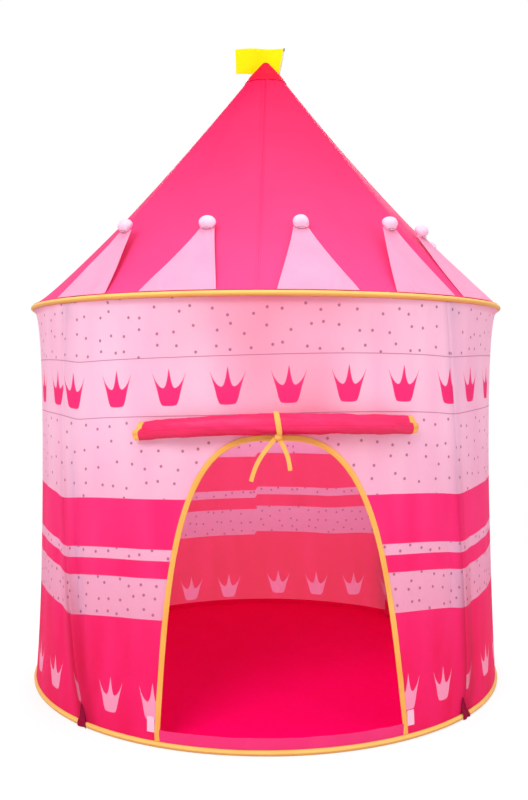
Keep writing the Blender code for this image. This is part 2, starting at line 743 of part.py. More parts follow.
def add_tie(material):
    """A strap round the roll, the knot under it and the knot's two hanging tails."""
    centre = roll_centre(TIE_AZIMUTH)
    out = outward(TIE_AZIMUTH)
    up = Vector((0.0, 0.0, 1.0))
    along = up.cross(out).normalized()
    sides = 16
    inner = (ROLL_RADIUS + CLEARANCE) / math.cos(math.pi / sides)
    outer = inner + TAPE
    rings = []
    for radius, shift in ((outer, -0.5), (outer, 0.5), (inner, 0.5), (inner, -0.5)):
        rings.append(circle(centre + along * (TIE_WIDTH * shift), radius, out, up, sides))
    points = [point for ring in rings for point in ring]
    faces = grid(4, sides, closed=True)
    last = 3 * sides
    for side in range(sides):
        after = (side + 1) % sides
        faces.append((last + side, last + after, after, side))
    make_object("tie_strap", points, faces, material)

    knot_width, knot_depth, knot_height = KNOT_SIZE
    knot_flat = 66.0
    knot_half = knot_height * math.sin(math.radians(knot_flat))
    knot_centre = centre - up * (outer * math.cos(math.pi / sides) + CLEARANCE + knot_half)
    rings = []
    for angle in (-knot_flat, -35.0, 0.0, 35.0, knot_flat):
        level = math.radians(angle)
        ring = []
        for index in range(10):
            turn = 2.0 * math.pi * index / 10
            ring.append(knot_centre + up * (knot_height * math.sin(level))
                        + along * (knot_width * math.cos(level) * math.cos(turn))
                        + out * (knot_depth * math.cos(level) * math.sin(turn)))
        rings.append(ring)
    points, faces = skin(rings)
    make_object("tie_knot", points, faces, material)

    knot_bottom = knot_centre - up * (knot_half + CLEARANCE)
    for name, reach, start in (("tie_tail_long", LONG_TAIL_REACH, -0.5),
                               ("tie_tail_short", SHORT_TAIL_REACH, 0.5)):
        first = knot_bottom + along * (start * (TIE_WIDTH + 2.0 * CLEARANCE))
        points, faces = tail_solid(first, Vector(reach))
        make_object(name, points, faces, material)


def tail_solid(first, reach):
    """A flat tape that hangs from the knot and swings out to one side."""
    steps = 6
    span = Vector((reach.x, reach.y, 0.0))
    rings = []
    for step in range(steps + 1):
        share = step / steps
        sideways = share + 0.18 * math.sin(math.pi * share)
        centre = first + span * sideways + Vector((0.0, 0.0, reach.z * share))
        centre.y -= TAIL_BEND * math.sin(math.pi * share)
        slope = Vector((reach.x, 0.0, reach.z)).normalized() * min(1.0, 2.0 * share)
        down = (slope + Vector((0.0, 0.0, -1.0)) * max(0.0, 1.0 - 2.0 * share)).normalized()
        across = Vector((0.0, 1.0, 0.0)).cross(down).normalized() * (TIE_WIDTH / 2)
        thick = Vector((0.0, TAPE / 2, 0.0))
        rings.append([centre - across - thick, centre + across - thick,
                      centre + across + thick, centre - across + thick])
    return skin(rings)


def pennant_azimuths():
    """The azimuth of each pennant's base, with the empty place left out."""
    places = [place for place in range(FIRST_PENNANT_PLACE, FIRST_PENNANT_PLACE + PENNANT_PLACES)
              if place != EMPTY_PENNANT_PLACE]
    pitch = 360.0 / PENNANT_PLACES
    return [MIDDLE_PENNANT_AZIMUTH + pitch * place + shift for place, shift in zip(places, PENNANT_SHIFTS)]


def pennant_half_width(share):
    taper = (1.0 - share) ** PENNANT_CURVE
    return PENNANT_TIP / 2 + (PENNANT_BASE - PENNANT_TIP) / 2 * taper


def pennant_place(azimuth, lean, share, side):
    """Azimuth and rise of a point of a pennant: share along it and side (-1 to 1) across it."""
    rise = share * PENNANT_SLANT / SLANT
    turn = math.degrees(side * pennant_half_width(share) / (HOOP_RADIUS * (1.0 - rise)))
    return azimuth + lean * share + turn, rise


def pennant_tip_radius(azimuth, lean):
    """The least radius of the tip at which the straight flap clears the roof all over."""
    tip_radius = 0.0
    for row in range(1, 25):
        share = row / 24
        for column in range(17):
            place, rise = pennant_place(azimuth, lean, share, column / 8.0 - 1.0)
            inward = HOOP_RADIUS - flat_roof_radius(place, rise) - CLEARANCE
            tip_radius = max(tip_radius, HOOP_RADIUS - inward / share)
    return tip_radius


def add_pennant(number, azimuth, lean, cloth):
    """A flap sewn at the top hoop that lies over the roof's hollow, with a stuffed ball tip."""
    lift = CLOTH / 2 + 2.0 * CLEARANCE + PENNANT / 2
    tip_radius = pennant_tip_radius(azimuth, lean)
    points, normals = [], []
    for row in range(PENNANT_ROWS + 1):
        share = row / PENNANT_ROWS
        radius = HOOP_RADIUS + (tip_radius - HOOP_RADIUS) * share
        for column in range(PENNANT_COLUMNS + 1):
            place, rise = pennant_place(azimuth, lean, share, 2.0 * column / PENNANT_COLUMNS - 1.0)
            normal = roof_normal(place)
            raised = lift + PENNANT_TIP_LIFT * share ** 3
            points.append(azimuth_point(radius, place, roof_point(place, rise).z) + normal * raised)
            normals.append(normal)
    solid, faces = thick_sheet(points, normals, grid(PENNANT_ROWS + 1, PENNANT_COLUMNS + 1), PENNANT)
    hinge = roof_point(azimuth, 0.0, lift)
    flap = make_object("pennant_%02d" % number, solid, faces, cloth, hinge)

    tip_rise = (PENNANT_SLANT + BALL_REACH) / SLANT
    ball_lift = CLOTH / 2 + CLEARANCE + BALL_RADIUS
    centre = azimuth_point(tip_radius, azimuth + lean, roof_point(azimuth, tip_rise).z)
    centre += roof_normal(azimuth + lean) * ball_lift
    rings = []
    up = roof_normal(azimuth + lean)
    side = up.cross(outward(azimuth + lean)).normalized()
    across = up.cross(side)
    for angle in (-72, -45, -15, 15, 45, 72):
        level = math.radians(angle)
        middle = centre + up * (BALL_RADIUS * math.sin(level))
        rings.append(circle(middle, BALL_RADIUS * math.cos(level), side, across, 10, turn=0.0))
    points, faces = skin(rings)
    ball = make_object("pennant_ball", points, faces, cloth, centre, flap)
    hide_helper(ball)
    sew = flap.modifiers.new("stuffed_tip", "BOOLEAN")
    sew.operation = "UNION"
    sew.object = ball
    sew.solver = "EXACT"
    return flap


def stick_line():
    """The flag stick's foot on the roof's point and its direction."""
    lift = CLOTH / 2 + CLEARANCE + CLOTH + CLEARANCE
    foot = roof_point(STICK_AZIMUTH, STICK_FOOT_SHARE, lift)
    foot += Vector((0.0, 0.0, STICK_RADIUS * ROOF_OUTWARD / ROOF_UPWARD))
    lean = math.radians(STICK_LEAN)
    return foot, Vector((math.sin(lean), 0.0, math.cos(lean)))


def add_flag(stick_material, cloth):
    foot, along = stick_line()
    top = foot + along * STICK_LENGTH
    points, faces = rod([foot, top], STICK_RADIUS, 6)
    make_object("flag_stick", points, faces, stick_material)
    droop = math.radians(FLAG_DROOP)
    fly = Vector((-math.cos(droop), 0.0, -math.sin(droop)))
    back = Vector((0.0, 1.0, 0.0))
    rows, columns = 3, 8
    points, normals = [], []
    start = STICK_RADIUS + CLEARANCE
    for row in range(rows + 1):
        hoist = top - along * (CLEARANCE + FLAG_HOIST * (1.0 - row / rows))
        for column in range(columns + 1):
            share = column / columns
            wave = FLAG_WAVE * math.sin(2.2 * math.pi * share) * min(1.0, 4.0 * share)
            points.append(hoist + fly * (start + FLAG_LENGTH * share) + back * wave)
            normals.append(back)
    solid, faces = thick_sheet(points, normals, grid(rows + 1, columns + 1), TAPE)
    return make_object("flag", solid, faces, cloth, foot)


def build_tent():
    clear_scene()
    light = make_material("printed_cloth", LIGHT_PINK)
    pink = make_material("roof_cloth", HOT_PINK)
    red = make_material("tip_cloth", TIP_RED)
    ground = make_material("floor_cloth", FLOOR_RED)
    tape = make_material("edge_tape", TAPE_ORANGE, 0.6)
    yellow = make_material("flag_cloth", FLAG_YELLOW, 0.6)
    steel = make_material("spring_steel", STEEL_GREY, 0.35, 1.0)
    white = make_material("pole_plastic", POLE_WHITE, 0.4)
    black = make_material("socket_plastic", PLASTIC_BLACK, 0.5)

    add_floor(ground)
    add_ring("bottom_hoop", LOW_HOOP_Z, HOOP_WIRE_RADIUS, steel)
    add_ring("top_hoop", HIGH_HOOP_Z, HOOP_WIRE_RADIUS, steel)
    add_casing("bottom_hoop_casing", LOW_HOOP_Z, tape)
    add_casing("top_hoop_casing", HIGH_HOOP_Z, tape)

    add_front_wall(light)
    add_wall_panel("wall_right", 0, light)
    add_wall_panel("wall_back", 1, light)
    add_wall_panel("wall_left", 2, light)
    add_door_sill(pink)
    add_door_binding(tape)

    for azimuth, corner in zip(POLE_AZIMUTHS, POLE_NAMES):
        add_roof_panel("roof_" + corner, azimuth, pink)
    add_roof_tip(red)

    add_poles(white)
    for azimuth, corner in zip(POLE_AZIMUTHS, POLE_NAMES):
        make_object("pole_elbow_" + corner, *elbow_solid(azimuth), black)
        make_object("foot_pocket_" + corner, *foot_pocket_solid(azimuth), black)
    add_apex_hub(black)

    add_door_roll(pink, tape)
    add_door_curtain(pink)
    add_tie(tape)

    for number, (azimuth, lean) in enumerate(zip(pennant_azimuths(), PENNANT_LEANS), start=1):
        add_pennant(number, azimuth, lean, light)
    add_flag(white, yellow)


build_tent()
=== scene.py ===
import math

import bmesh
import bpy
import numpy as np
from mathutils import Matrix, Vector


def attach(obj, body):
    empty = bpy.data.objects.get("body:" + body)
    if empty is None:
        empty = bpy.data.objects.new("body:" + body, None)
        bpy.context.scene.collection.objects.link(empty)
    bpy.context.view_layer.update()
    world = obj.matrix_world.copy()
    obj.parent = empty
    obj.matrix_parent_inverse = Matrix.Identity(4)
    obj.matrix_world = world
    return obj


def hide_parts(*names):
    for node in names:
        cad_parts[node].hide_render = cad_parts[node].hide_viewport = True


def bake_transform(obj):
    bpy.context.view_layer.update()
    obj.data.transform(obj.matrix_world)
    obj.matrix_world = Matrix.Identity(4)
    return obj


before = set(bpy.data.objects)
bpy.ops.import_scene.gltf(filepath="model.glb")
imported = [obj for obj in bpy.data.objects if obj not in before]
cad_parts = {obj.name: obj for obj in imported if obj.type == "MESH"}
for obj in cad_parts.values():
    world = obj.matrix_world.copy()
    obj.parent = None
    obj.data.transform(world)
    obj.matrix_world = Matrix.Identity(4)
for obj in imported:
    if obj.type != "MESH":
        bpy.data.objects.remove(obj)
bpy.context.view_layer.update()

# The photograph's frame and its camera
IMAGE_WIDTH = 528
IMAGE_HEIGHT = 800
FOCAL_PIXELS = 893.3
SENSOR_WIDTH = 36.0      # millimetres
CAMERA_DISTANCE = 2.092
CAMERA_AZIMUTH = -3.1
CAMERA_HEIGHT = 0.6862
CAMERA_PITCH = -1.906
AXIS_PIXEL_X = 265.75

# Hoops, wall cloth and roof, in the CAD's places
HOOP_RADIUS = 0.525
CASING_RADIUS = 0.0055
LOW_HOOP_Z = 0.0055
HIGH_HOOP_Z = 0.8215
CLEARANCE = 0.0003
WALL_LOW_Z = LOW_HOOP_Z + CASING_RADIUS + CLEARANCE
WALL_HIGH_Z = HIGH_HOOP_Z - CASING_RADIUS - CLEARANCE
WALL_WAIST = 0.022
WAIST_LOW_POWER = 0.9
WAIST_HIGH_POWER = 0.4
CAD_CLOTH = 0.0012
CLOTH = 0.0008
ROOF_LOW_Z = HIGH_HOOP_Z + CASING_RADIUS + CLEARANCE + CAD_CLOTH / 2
APEX_Z = 1.4005
ROOF_SAG = 0.0735
ROOF_SAG_END = 0.93
ROOF_TOP_SHARE = 0.955
TIP_LOW_SHARE = 0.90
TIP_HIGH_SHARE = 0.9985
SLANT = math.hypot(HOOP_RADIUS, APEX_Z - ROOF_LOW_Z)
ROOF_OUTWARD = (APEX_Z - ROOF_LOW_Z) / SLANT
ROOF_UPWARD = HOOP_RADIUS / SLANT

# Depths of the folds, pulls and gathers in the cloth, and of its tuck at a crease
BROAD_FOLD = 0.0030
NARROW_FOLD = 0.0009
HOOP_GATHER = 0.0009
ROOF_PULL = 0.0012
ROOF_GATHER = 0.0006
CREASE_TURN_IN = 0.0012
CREASE_TURN_IN_AT_FOOT = 0.0030
CREASE_FURROW = 0.0034
CREASE_LAP_DEPTH = 0.0022

# Poles: their azimuths at the foot, how far the top is turned, and how far the crease bows away
CORNERS = ("front_right", "rear_right", "rear_left", "front_left")
POLE_AZIMUTHS = (45.0, 135.0, 225.0, 315.0)
BAY = 90.0
TOP_TWIST = -4.9
CREASE_SHIFTS = (1.2, 1.2, -1.2, -1.2)
CREASE_LEANS = (5.0, 0.0, 0.0, 0.0)
CREASE_BOWS = (0.4, 1.5, -2.0, -3.6)

# Doorway and the tape round it
DOOR_HALF_WIDTH = 0.233
DOOR_SILL_HEIGHT = 0.032
DOOR_TOP_HEIGHT = 0.562
DOOR_TAPER = 0.177
DOOR_ARCH_POWER = 3.4
DOOR_FOOT_TURN = 0.65
DOOR_TWIST_SHARE = 0.5
TAPE_WIDTH = 0.0088
TAPE = 0.001
SILL_CLOTH = 0.0014
CATCH_LOW_Z = 0.0265
CATCH_HIGH_Z = 0.0545
CATCH_GAP = 0.0095
CATCH_WIDTH = 0.0155
CATCH_MIDDLE_Z = 0.04
CATCH_LIFT = 0.0013

# Rolled door and its tie
ROLL_RADIUS = 0.0175
ROLL_HEIGHT = 0.5895
ROLL_LEFT = -31.0
ROLL_RIGHT = 29.2
ROLL_LEFT_END = -29.9
ROLL_RIGHT_END = 28.2
ROLL_LEFT_DROOP = 0.019
ROLL_RIGHT_DROOP = 0.0065
ROLL_END_FLATTENING = 0.5
ROLL_SWELL = 0.15
ROLL_EDGE = 0.0115
ROLL_OVERHANG = 0.3
ROLL_RAISE = 0.0028
ROLL_STAND_OFF = CAD_CLOTH / 2 + 2.0 * TAPE + 4.0 * CLEARANCE + ROLL_RADIUS
CURTAIN_LOW = 0.579
CURTAIN_HIGH = 0.592
TIE_AZIMUTH = -0.9
TIE_WIDTH = 0.010
TAIL_WIDTH = 0.0078
KNOT_SIZE = (0.0075, 0.0065, 0.0058)
KNOT_TUCKED_DROP = 0.0202
TAIL_START_DROP = 0.0240
LONG_TAIL_REACH = (-0.042, -0.006, -0.074)
SHORT_TAIL_REACH = (0.0185, -0.004, -0.0555)
TAIL_BEND = 0.006
ROLL_TURN_SHARPNESS = 20.0
ROLL_TURN_ANGLE = 0.2
CURTAIN_STAND_OFF = 0.0024
CURTAIN_LEFT_INSET = 4.5
CURTAIN_RIGHT_INSET = 2.5
CURTAIN_STRETCH = 6.0

# Pennants, their stuffed tips and the flag
PENNANT_PLACES = 13
EMPTY_PENNANT_PLACE = 10
FIRST_PENNANT_PLACE = -2
MIDDLE_PENNANT_AZIMUTH = 7.0
PENNANT_SHIFTS = (2.7, -0.1, 0.2, -2.8, -10.9, -5.0, -2.0, 1.0, -1.5, 0.5, 1.0, -0.6)
PENNANT_LEANS = (2.4, 0.9, -0.3, -1.1, -3.5, -1.2, 1.6, -0.6, 1.0, -1.8, 0.8, -1.0)
PENNANT_BASE = 0.156
PENNANT_TIP = 0.026
PENNANT_SLANT = 0.178
PENNANT_CURVE = 1.15
PENNANT_LIFT = 0.0017
PENNANT_TIP_LIFT = 0.006
BALL_RADIUS = 0.013
BALL_REACH = 0.003
FLAP_START_SHARE = -0.005
FLAP_FOOT_WIDTH = 0.955
FLAP_WIDENING = 0.13
FLAP_FOLD = 0.0022
FLAP_END_SHARE = 0.975
FLAP_CLOTH = 0.0009
FLAP_SWELL = 0.0009
FLAP_HEM_ROLL = 0.0004
BALL_SAG = 0.0035
THREAD_RADIUS = 0.00045
FLAG_GATHER = 0.15
FLAG_LIFT = 0.0055
STICK_AZIMUTH = 143.0
STICK_FOOT_SHARE = 0.912
STICK_RADIUS = 0.0015
STICK_LENGTH = 0.0925
STICK_LEAN = 11.0
STICK_STAND_OFF = 0.0024
STICK_CAP_Z = 1.437
FLAG_LENGTH = 0.118
FLAG_HOIST = 0.060
FLAG_DROOP = 4.4
FLAG_WAVE = 0.004
FLAG_CLOTH = 0.0007

# Weave, tape and stitches
THREAD_PITCH = 0.0009
TAPE_RIB_PITCH = 0.0012
STITCH_PITCH = 0.0035
STITCH_WIDTH = 0.0007
ROOF_STITCH_INSET = 0.004
PENNANT_STITCH_INSET = 0.0045
DOOR_STITCH_ROWS = (0.0095, 0.0022)
CASING_STITCH_ROWS = (0.0095,)

# Print on the wall: heights of its lines and band edges, rows of crowns, and dots
LINE_HEIGHTS = (0.7180, 0.6120)
BAND_EDGES = (0.2405, 0.3155, 0.3480, 0.3685, 0.4605)
LINE_WIDTH = 0.0016
CROWN_PITCH = HOOP_RADIUS * math.radians(12.41)
TOP_CROWN_START = HOOP_RADIUS * math.radians(1.6)
LOW_CROWN_START = HOOP_RADIUS * math.radians(-0.9)
TOP_CROWN_BASE = 0.6315
LOW_CROWN_BASE = 0.0575
CROWN_HALF_WIDTH = 0.0335
CROWN_SCALE = 0.080
CROWN_OFFSET = 0.005
CROWN_SOFTNESS = 0.001
TOP_CROWN_SPREAD = 0.0003
LOW_CROWN_SPREAD = 0.0008
CROWN_UPPER = ((0.0, 0.0670), (0.0014, 0.0600), (0.0028, 0.0520), (0.0048, 0.0430), (0.0072, 0.0360),
               (0.0098, 0.0322), (0.0125, 0.0312), (0.0150, 0.0320), (0.0190, 0.0346), (0.0228, 0.0388),
               (0.0280, 0.0462), (0.0335, 0.0585))
CROWN_LOWER = ((0.0, -0.0012), (0.0110, -0.0004), (0.0150, 0.0010), (0.0174, 0.0046), (0.0250, 0.0308),
               (0.0335, 0.0578))
DOT_SPACING = 0.0345
LOW_DOT_SPACING = 0.0275
DOT_ROW_OFFSET = 0.0050
DOT_RADIUS = 0.0028

# How far the print hangs down on the left, at the back and at the creases
PRINT_DROP = 0.010
BACK_PRINT_DROP = 0.025
BACK_DROP_LOSS = 0.07
CREASE_DIP_AT_FOOT = 0.0255
CREASE_DIP_LOSS = 0.0270
CREASE_ROUNDING = 2.0
CREASE_DIP_BEFORE = (8.0, 8.0, 8.0, 5.0)
CREASE_DIP_AFTER = (14.0, 8.0, 8.0, 9.0)
HIGH_DIP_TURN = (0.0, 0.0, 0.0, 6.0)

# Where the low crowns stand on the front panel, and the shifts of the print on the others
LOW_CROWNS_LEFT = (-26.5, 10.5)
LOW_CROWNS_RIGHT = (27.4, 10.0)
PRINT_SHIFTS = {"right_wall_cloth": 0.032, "left_wall_cloth": -0.019}
BACK_SEAM = 181.4
BACK_SEAM_HALF_WIDTH = 0.2
BACK_SEAM_LOSS = 3.6
PANEL_LAP = 0.7

# The ground sheet's edge, the poles' feet, and the tucks and sleeves over them
FLAT_SHEET_RADIUS = 0.5160
SHEET_EDGE_INSIDE = ((0.5180, 0.0016), (0.5187, 0.0035), (0.5188, 0.0085), (0.5192, 0.0113),
                     (0.5205, 0.0126), (0.5234, 0.0130))
SHEET_EDGE_OUTSIDE = ((0.5188, 0.0003), (0.5193, 0.0030), (0.5194, 0.0085), (0.5198, 0.0108),
                      (0.5208, 0.0119), (0.5234, 0.0122))
POLE_SIDE_AT_FOOT = 0.5164
FOOT_RADIUS = 0.5129
TUCK_LOW_Z = 0.0012
TUCK_HIGH_Z = 0.043
TUCK_HALF_ANGLE = 1.4
SMALL_CLOTH = 0.0008
SLEEVE_TOP_Z = 0.042
SLEEVE_HALF_WIDTH = 0.017
SLEEVE_REACH_LOW = 0.5170
SLEEVE_REACH_HIGH = 0.5224
POLE_BOW = 0.0078
CASING_SEAM_AZIMUTH = 135.5
CASING_TURN = 359.0

# Colours as sRGB values out of 255
LIGHT_PINK = (254, 224, 243)
# painted shade in the light cloth's folds
FOLD_SHADE_PINK = (251, 211, 236)
# painted shade half-way between the poles
BAY_SHADE_PINK = (250, 166, 192)
# painted shadow of a pole behind the cloth
POLE_SHADOW_LILAC = (226, 184, 216)
LOW_LIGHT_PINK = (242, 182, 210)
HOT_PINK = (250, 40, 126)
# painted highlight along the hot pink's folds
HOT_PINK_FOLD_HIGHLIGHT = (254, 62, 142)
LOW_HOT_PINK = (244, 24, 100)
CROWN_PINK = (250, 56, 136)
LOW_CROWN_PINK = (250, 180, 212)
DOT_PURPLE = (176, 92, 138)
LINE_PURPLE = (186, 104, 150)
# painted light: the roof is deeper towards the point and lighter towards the hoop
ROOF_SHADED_HIGH = (236, 2, 82)
ROOF_LIT_LOW = (250, 86, 158)
TIP_RED = (234, 0, 44)
TIP_LOW_RED = (236, 8, 60)
FLOOR_REDS = ((255, 0, 118), (250, 0, 98))
TAPE_ORANGE = (247, 164, 70)
TAPE_PALE = (253, 202, 112)
FLAG_YELLOWS = ((243, 230, 24), (240, 222, 20))
PENNANT_PINKS = ((251, 159, 195), (253, 182, 214))
BALL_PINKS = ((254, 216, 236), (254, 200, 228))
THREAD_PURPLES = ((150, 84, 112), (176, 104, 132))
ROLL_PINKS = ((250, 48, 116), (236, 28, 92))
SILL_PINKS = ((242, 50, 126), (248, 68, 140))
# painted shadow in the tuck at the foot of each crease
TUCK_SHADOW_REDS = ((122, 0, 40), (158, 4, 58))
SLEEVE_PINKS = ((238, 36, 100), (248, 54, 122))
PATCH_PINKS = ((240, 168, 204), (253, 214, 232))
WASHED_PRINT = (255, 118, 235)
ROOF_STITCH = (214, 30, 96)
TAPE_STITCH = (222, 138, 60)
HEM_STITCH = (214, 120, 160)

# Scene-linear factors for painted shade, and scene-linear colours
SHADE_FACTORS = (0.74, 0.27, 0.33)
# painted shade on the lower side of the hoop casing
UNDERSIDE_SHADE_FACTORS = (0.82, 0.60, 0.54)
WHITE = (1.0, 1.0, 1.0, 1.0)
STEEL_SHADES = ((0.38, 0.39, 0.41, 1.0), (0.62, 0.63, 0.65, 1.0))
POLE_SHADES = ((0.78, 0.78, 0.76, 1.0), (0.90, 0.90, 0.88, 1.0))
PLASTIC_SHADES = ((0.030, 0.030, 0.034, 1.0), (0.055, 0.055, 0.060, 1.0))
STICK_SHADES = ((0.50, 0.52, 0.30, 1.0), (0.62, 0.62, 0.36, 1.0))
STICK_CAP_SHADE = (0.05, 0.055, 0.05, 1.0)
FLOOR_GREY = (0.82, 0.82, 0.82, 1.0)
SHADOWED_GREY = (0.36, 0.36, 0.36, 1.0)

# Studio: strengths of the surroundings, the floor, and each lamp's place, aim, size and power
AMBIENT_STRENGTH = 0.54
FLOOR_GLOW = 0.66
FLOOR_HALF_SIZE = 9.0
FLOOR_Z = -0.0002
FLOOR_FADE = (0.75, 1.6)
LAMPS = (("key_softbox", (-1.5, -3.0, 2.8), (0.0, 0.0, 0.55), (1.8, 1.6), 86.0),
         ("fill_softbox", (2.6, -3.0, 1.7), (0.0, 0.0, 0.6), (2.4, 2.4), 31.0),
         ("back_softbox", (0.4, 3.4, 2.2), (0.0, 0.0, 0.5), (3.0, 2.2), 120.0),
         ("top_softbox", (0.2, -0.3, 3.6), (0.0, 0.0, 0.8), (2.0, 2.0), 50.0))


def linear(colour):
    """Scene-linear red, green, blue and alpha of an sRGB colour."""
    channels = []
    for value in colour:
        share = value / 255.0
        channels.append(share / 12.92 if share <= 0.04045 else ((share + 0.055) / 1.055) ** 2.4)
    return (*channels, 1.0)


# Materials

class Graph:
    """The node tree of a material or a world, with one call for each kind of node used here."""

    def __init__(self, name, world=False):
        self.owner = (bpy.data.worlds if world else bpy.data.materials).new(name)
        self.owner.use_nodes = True
        self.tree = self.owner.node_tree
        self.tree.nodes.clear()
        self.output = self.tree.nodes.new("ShaderNodeOutputWorld" if world else "ShaderNodeOutputMaterial")

    def node(self, kind, inputs=None, **settings):
        item = self.tree.nodes.new(kind)
        for key, value in settings.items():
            setattr(item, key, value)
        for key, value in (inputs or {}).items():
            self.fill(item.inputs[key], value)
        return item

    def fill(self, socket, value):
        if isinstance(value, bpy.types.NodeSocket):
            self.tree.links.new(value, socket)
        else:
            socket.default_value = value

    def math(self, operation, first, second=0.0, third=0.0, clamp=False):
        item = self.node("ShaderNodeMath", operation=operation, use_clamp=clamp)
        for index, value in enumerate((first, second, third)):
            self.fill(item.inputs[index], value)
        return item.outputs[0]

    def times(self, first, second):
        return self.math("MULTIPLY", first, second)

    def ramp(self, value, slope, start):
        """A straight ramp, held between 0 and 1."""
        return self.math("MULTIPLY_ADD", value, slope, start, clamp=True)

    def mix(self, share, first, second, **settings):
        item = self.node("ShaderNodeMix", data_type="RGBA", **settings)
        for key, value in (("Factor", share), ("A", first), ("B", second)):
            self.fill(item.inputs[key], value)
        return item.outputs["Result"]

    def tint(self, share, colour, factors):
        """Multiply a colour by red, green and blue factors, by a share."""
        return self.mix(share, colour, (*factors, 1.0), blend_type="MULTIPLY")

    def paint(self, colour, mask, strength, ink):
        """Lay an sRGB ink over a colour where a mask is, by a strength."""
        return self.mix(self.times(mask, strength), colour, linear(ink))

    def above(self, value, edge, width=0.0008):
        """0 below an edge and 1 above it."""
        return self.ramp(self.math("SUBTRACT", value, edge), 1.0 / width, 0.5)

    def between(self, value, low, high, width=0.0008):
        return self.times(self.above(value, low, width),
                          self.math("SUBTRACT", 1.0, self.above(value, high, width)))

    def cloth_coordinates(self, layer="cloth"):
        """The cloth's own flat coordinates, in metres, or another layer's two values."""
        coordinates = self.node("ShaderNodeUVMap", uv_map=layer).outputs[0]
        parts = self.node("ShaderNodeSeparateXYZ", {"Vector": coordinates})
        return parts.outputs[0], parts.outputs[1]

    def pair(self, first, second):
        return self.node("ShaderNodeCombineXYZ", {"X": first, "Y": second}).outputs[0]

    def place(self):
        """The object's own coordinates, in metres."""
        return self.node("ShaderNodeTexCoord").outputs["Object"]

    def rise(self, place, low, high):
        """How far up a place is from one height to another, from 0 to 1."""
        height = self.node("ShaderNodeSeparateXYZ", {"Vector": place}).outputs[2]
        return self.ramp(height, 1.0 / (high - low), -low / (high - low))

    def noise(self, vector, scale, detail=3.0, roughness=0.5):
        item = self.node("ShaderNodeTexNoise",
                         {"Vector": vector, "Scale": scale, "Detail": detail, "Roughness": roughness})
        return item.outputs["Fac"]

    def thread(self, value, pitch):
        """A wave across the threads of a weave, from -1 to 1."""
        return self.math("SINE", self.times(value, 2.0 * math.pi / pitch))

    def bump(self, height, strength, distance, normal=None):
        inputs = {"Height": height, "Strength": strength, "Distance": distance}
        if normal is not None:
            inputs["Normal"] = normal
        return self.node("ShaderNodeBump", inputs).outputs[0]

    def blend(self, share, first, second):
        """Mix two shaders by a share."""
        return self.node("ShaderNodeMixShader", {0: share, 1: first.outputs[0], 2: second.outputs[0]})

    def seen(self):
        """1 where the background is seen: by the camera, in a reflection or through a clear surface."""
        path = self.node("ShaderNodeLightPath").outputs
        direct = self.math("MAXIMUM", path["Is Camera Ray"], path["Is Glossy Ray"])
        return self.math("MAXIMUM", direct, path["Is Transmission Ray"])

    def show(self, shader):
        """Let the owner show a shader, and return the owner."""
        self.fill(self.output.inputs["Surface"], shader.outputs[0])
        return self.owner


def cloth_graph(name):
    """A new material's graph with the cloth's two flat coordinates and its place."""
    graph = Graph(name)
    u, v = graph.cloth_coordinates()
    return graph, u, v, graph.place()


def woven_normal(graph, u, v, place, crinkle=0.35):
    """Fine crinkles with the weave's threads on top."""
    normal = graph.bump(graph.noise(place, 38.0, 4.0, 0.55), crinkle, 0.004)
    threads = graph.times(graph.thread(u, THREAD_PITCH), graph.thread(v, THREAD_PITCH))
    return graph.bump(threads, 0.25, 0.0001, normal)


def finish_cloth(graph, colour, normal, roughness=0.62, see_through=0.35, sheen=0.0, whiter=0.3,
                 gloss=0.12):
    """Thin cloth: a soft surface that also lets light through, paler than its own colour."""
    surface = graph.node("ShaderNodeBsdfPrincipled",
                         {"Base Color": colour, "Roughness": roughness, "Normal": normal,
                          "Specular IOR Level": gloss, "Sheen Weight": sheen, "Sheen Roughness": 0.5})
    paler = graph.mix(whiter, colour, WHITE)
    through = graph.node("ShaderNodeBsdfTranslucent", {"Color": paler, "Normal": normal})
    return graph.show(graph.blend(see_through, surface, through))


def finish_solid(graph, colour, normal, roughness, metallic=0.0):
    return graph.show(graph.node("ShaderNodeBsdfPrincipled",
                                 {"Base Color": colour, "Roughness": roughness, "Metallic": metallic,
                                  "Normal": normal}))


def crown_curve(graph, across, points):
    """Height of a crown's edge at a distance from its middle line."""
    item = graph.node("ShaderNodeFloatCurve")
    curve = item.mapping.curves[0]
    places = [(x / CROWN_HALF_WIDTH, (y + CROWN_OFFSET) / CROWN_SCALE) for x, y in points]
    curve.points[0].location = places[0]
    curve.points[1].location = places[-1]
    for place in places[1:-1]:
        curve.points.new(*place)
    for point in curve.points:
        point.handle_type = "AUTO_CLAMPED"
    item.mapping.update()
    graph.fill(item.inputs["Value"], graph.math("DIVIDE", across, CROWN_HALF_WIDTH, clamp=True))
    return graph.math("MULTIPLY_ADD", item.outputs[0], CROWN_SCALE, -CROWN_OFFSET)


def crown_row(graph, u, v, start, base, fatter):
    """A mask of crowns in a row: each lies between two edge curves."""
    cell = graph.math("DIVIDE", graph.math("SUBTRACT", u, start), CROWN_PITCH)
    offset = graph.math("SUBTRACT", graph.math("FRACT", graph.math("ADD", cell, 0.5)), 0.5)
    across = graph.times(graph.math("ABSOLUTE", offset), CROWN_PITCH)
    height = graph.math("SUBTRACT", v, base)
    under = graph.math("SUBTRACT", crown_curve(graph, across, CROWN_UPPER), height)
    over = graph.math("SUBTRACT", height, crown_curve(graph, across, CROWN_LOWER))
    inside = graph.math("ADD", graph.math("MINIMUM", under, over), fatter)
    mask = graph.ramp(inside, 1.0 / CROWN_SOFTNESS, 0.35)
    return graph.times(mask, graph.between(across, -1.0, CROWN_HALF_WIDTH))


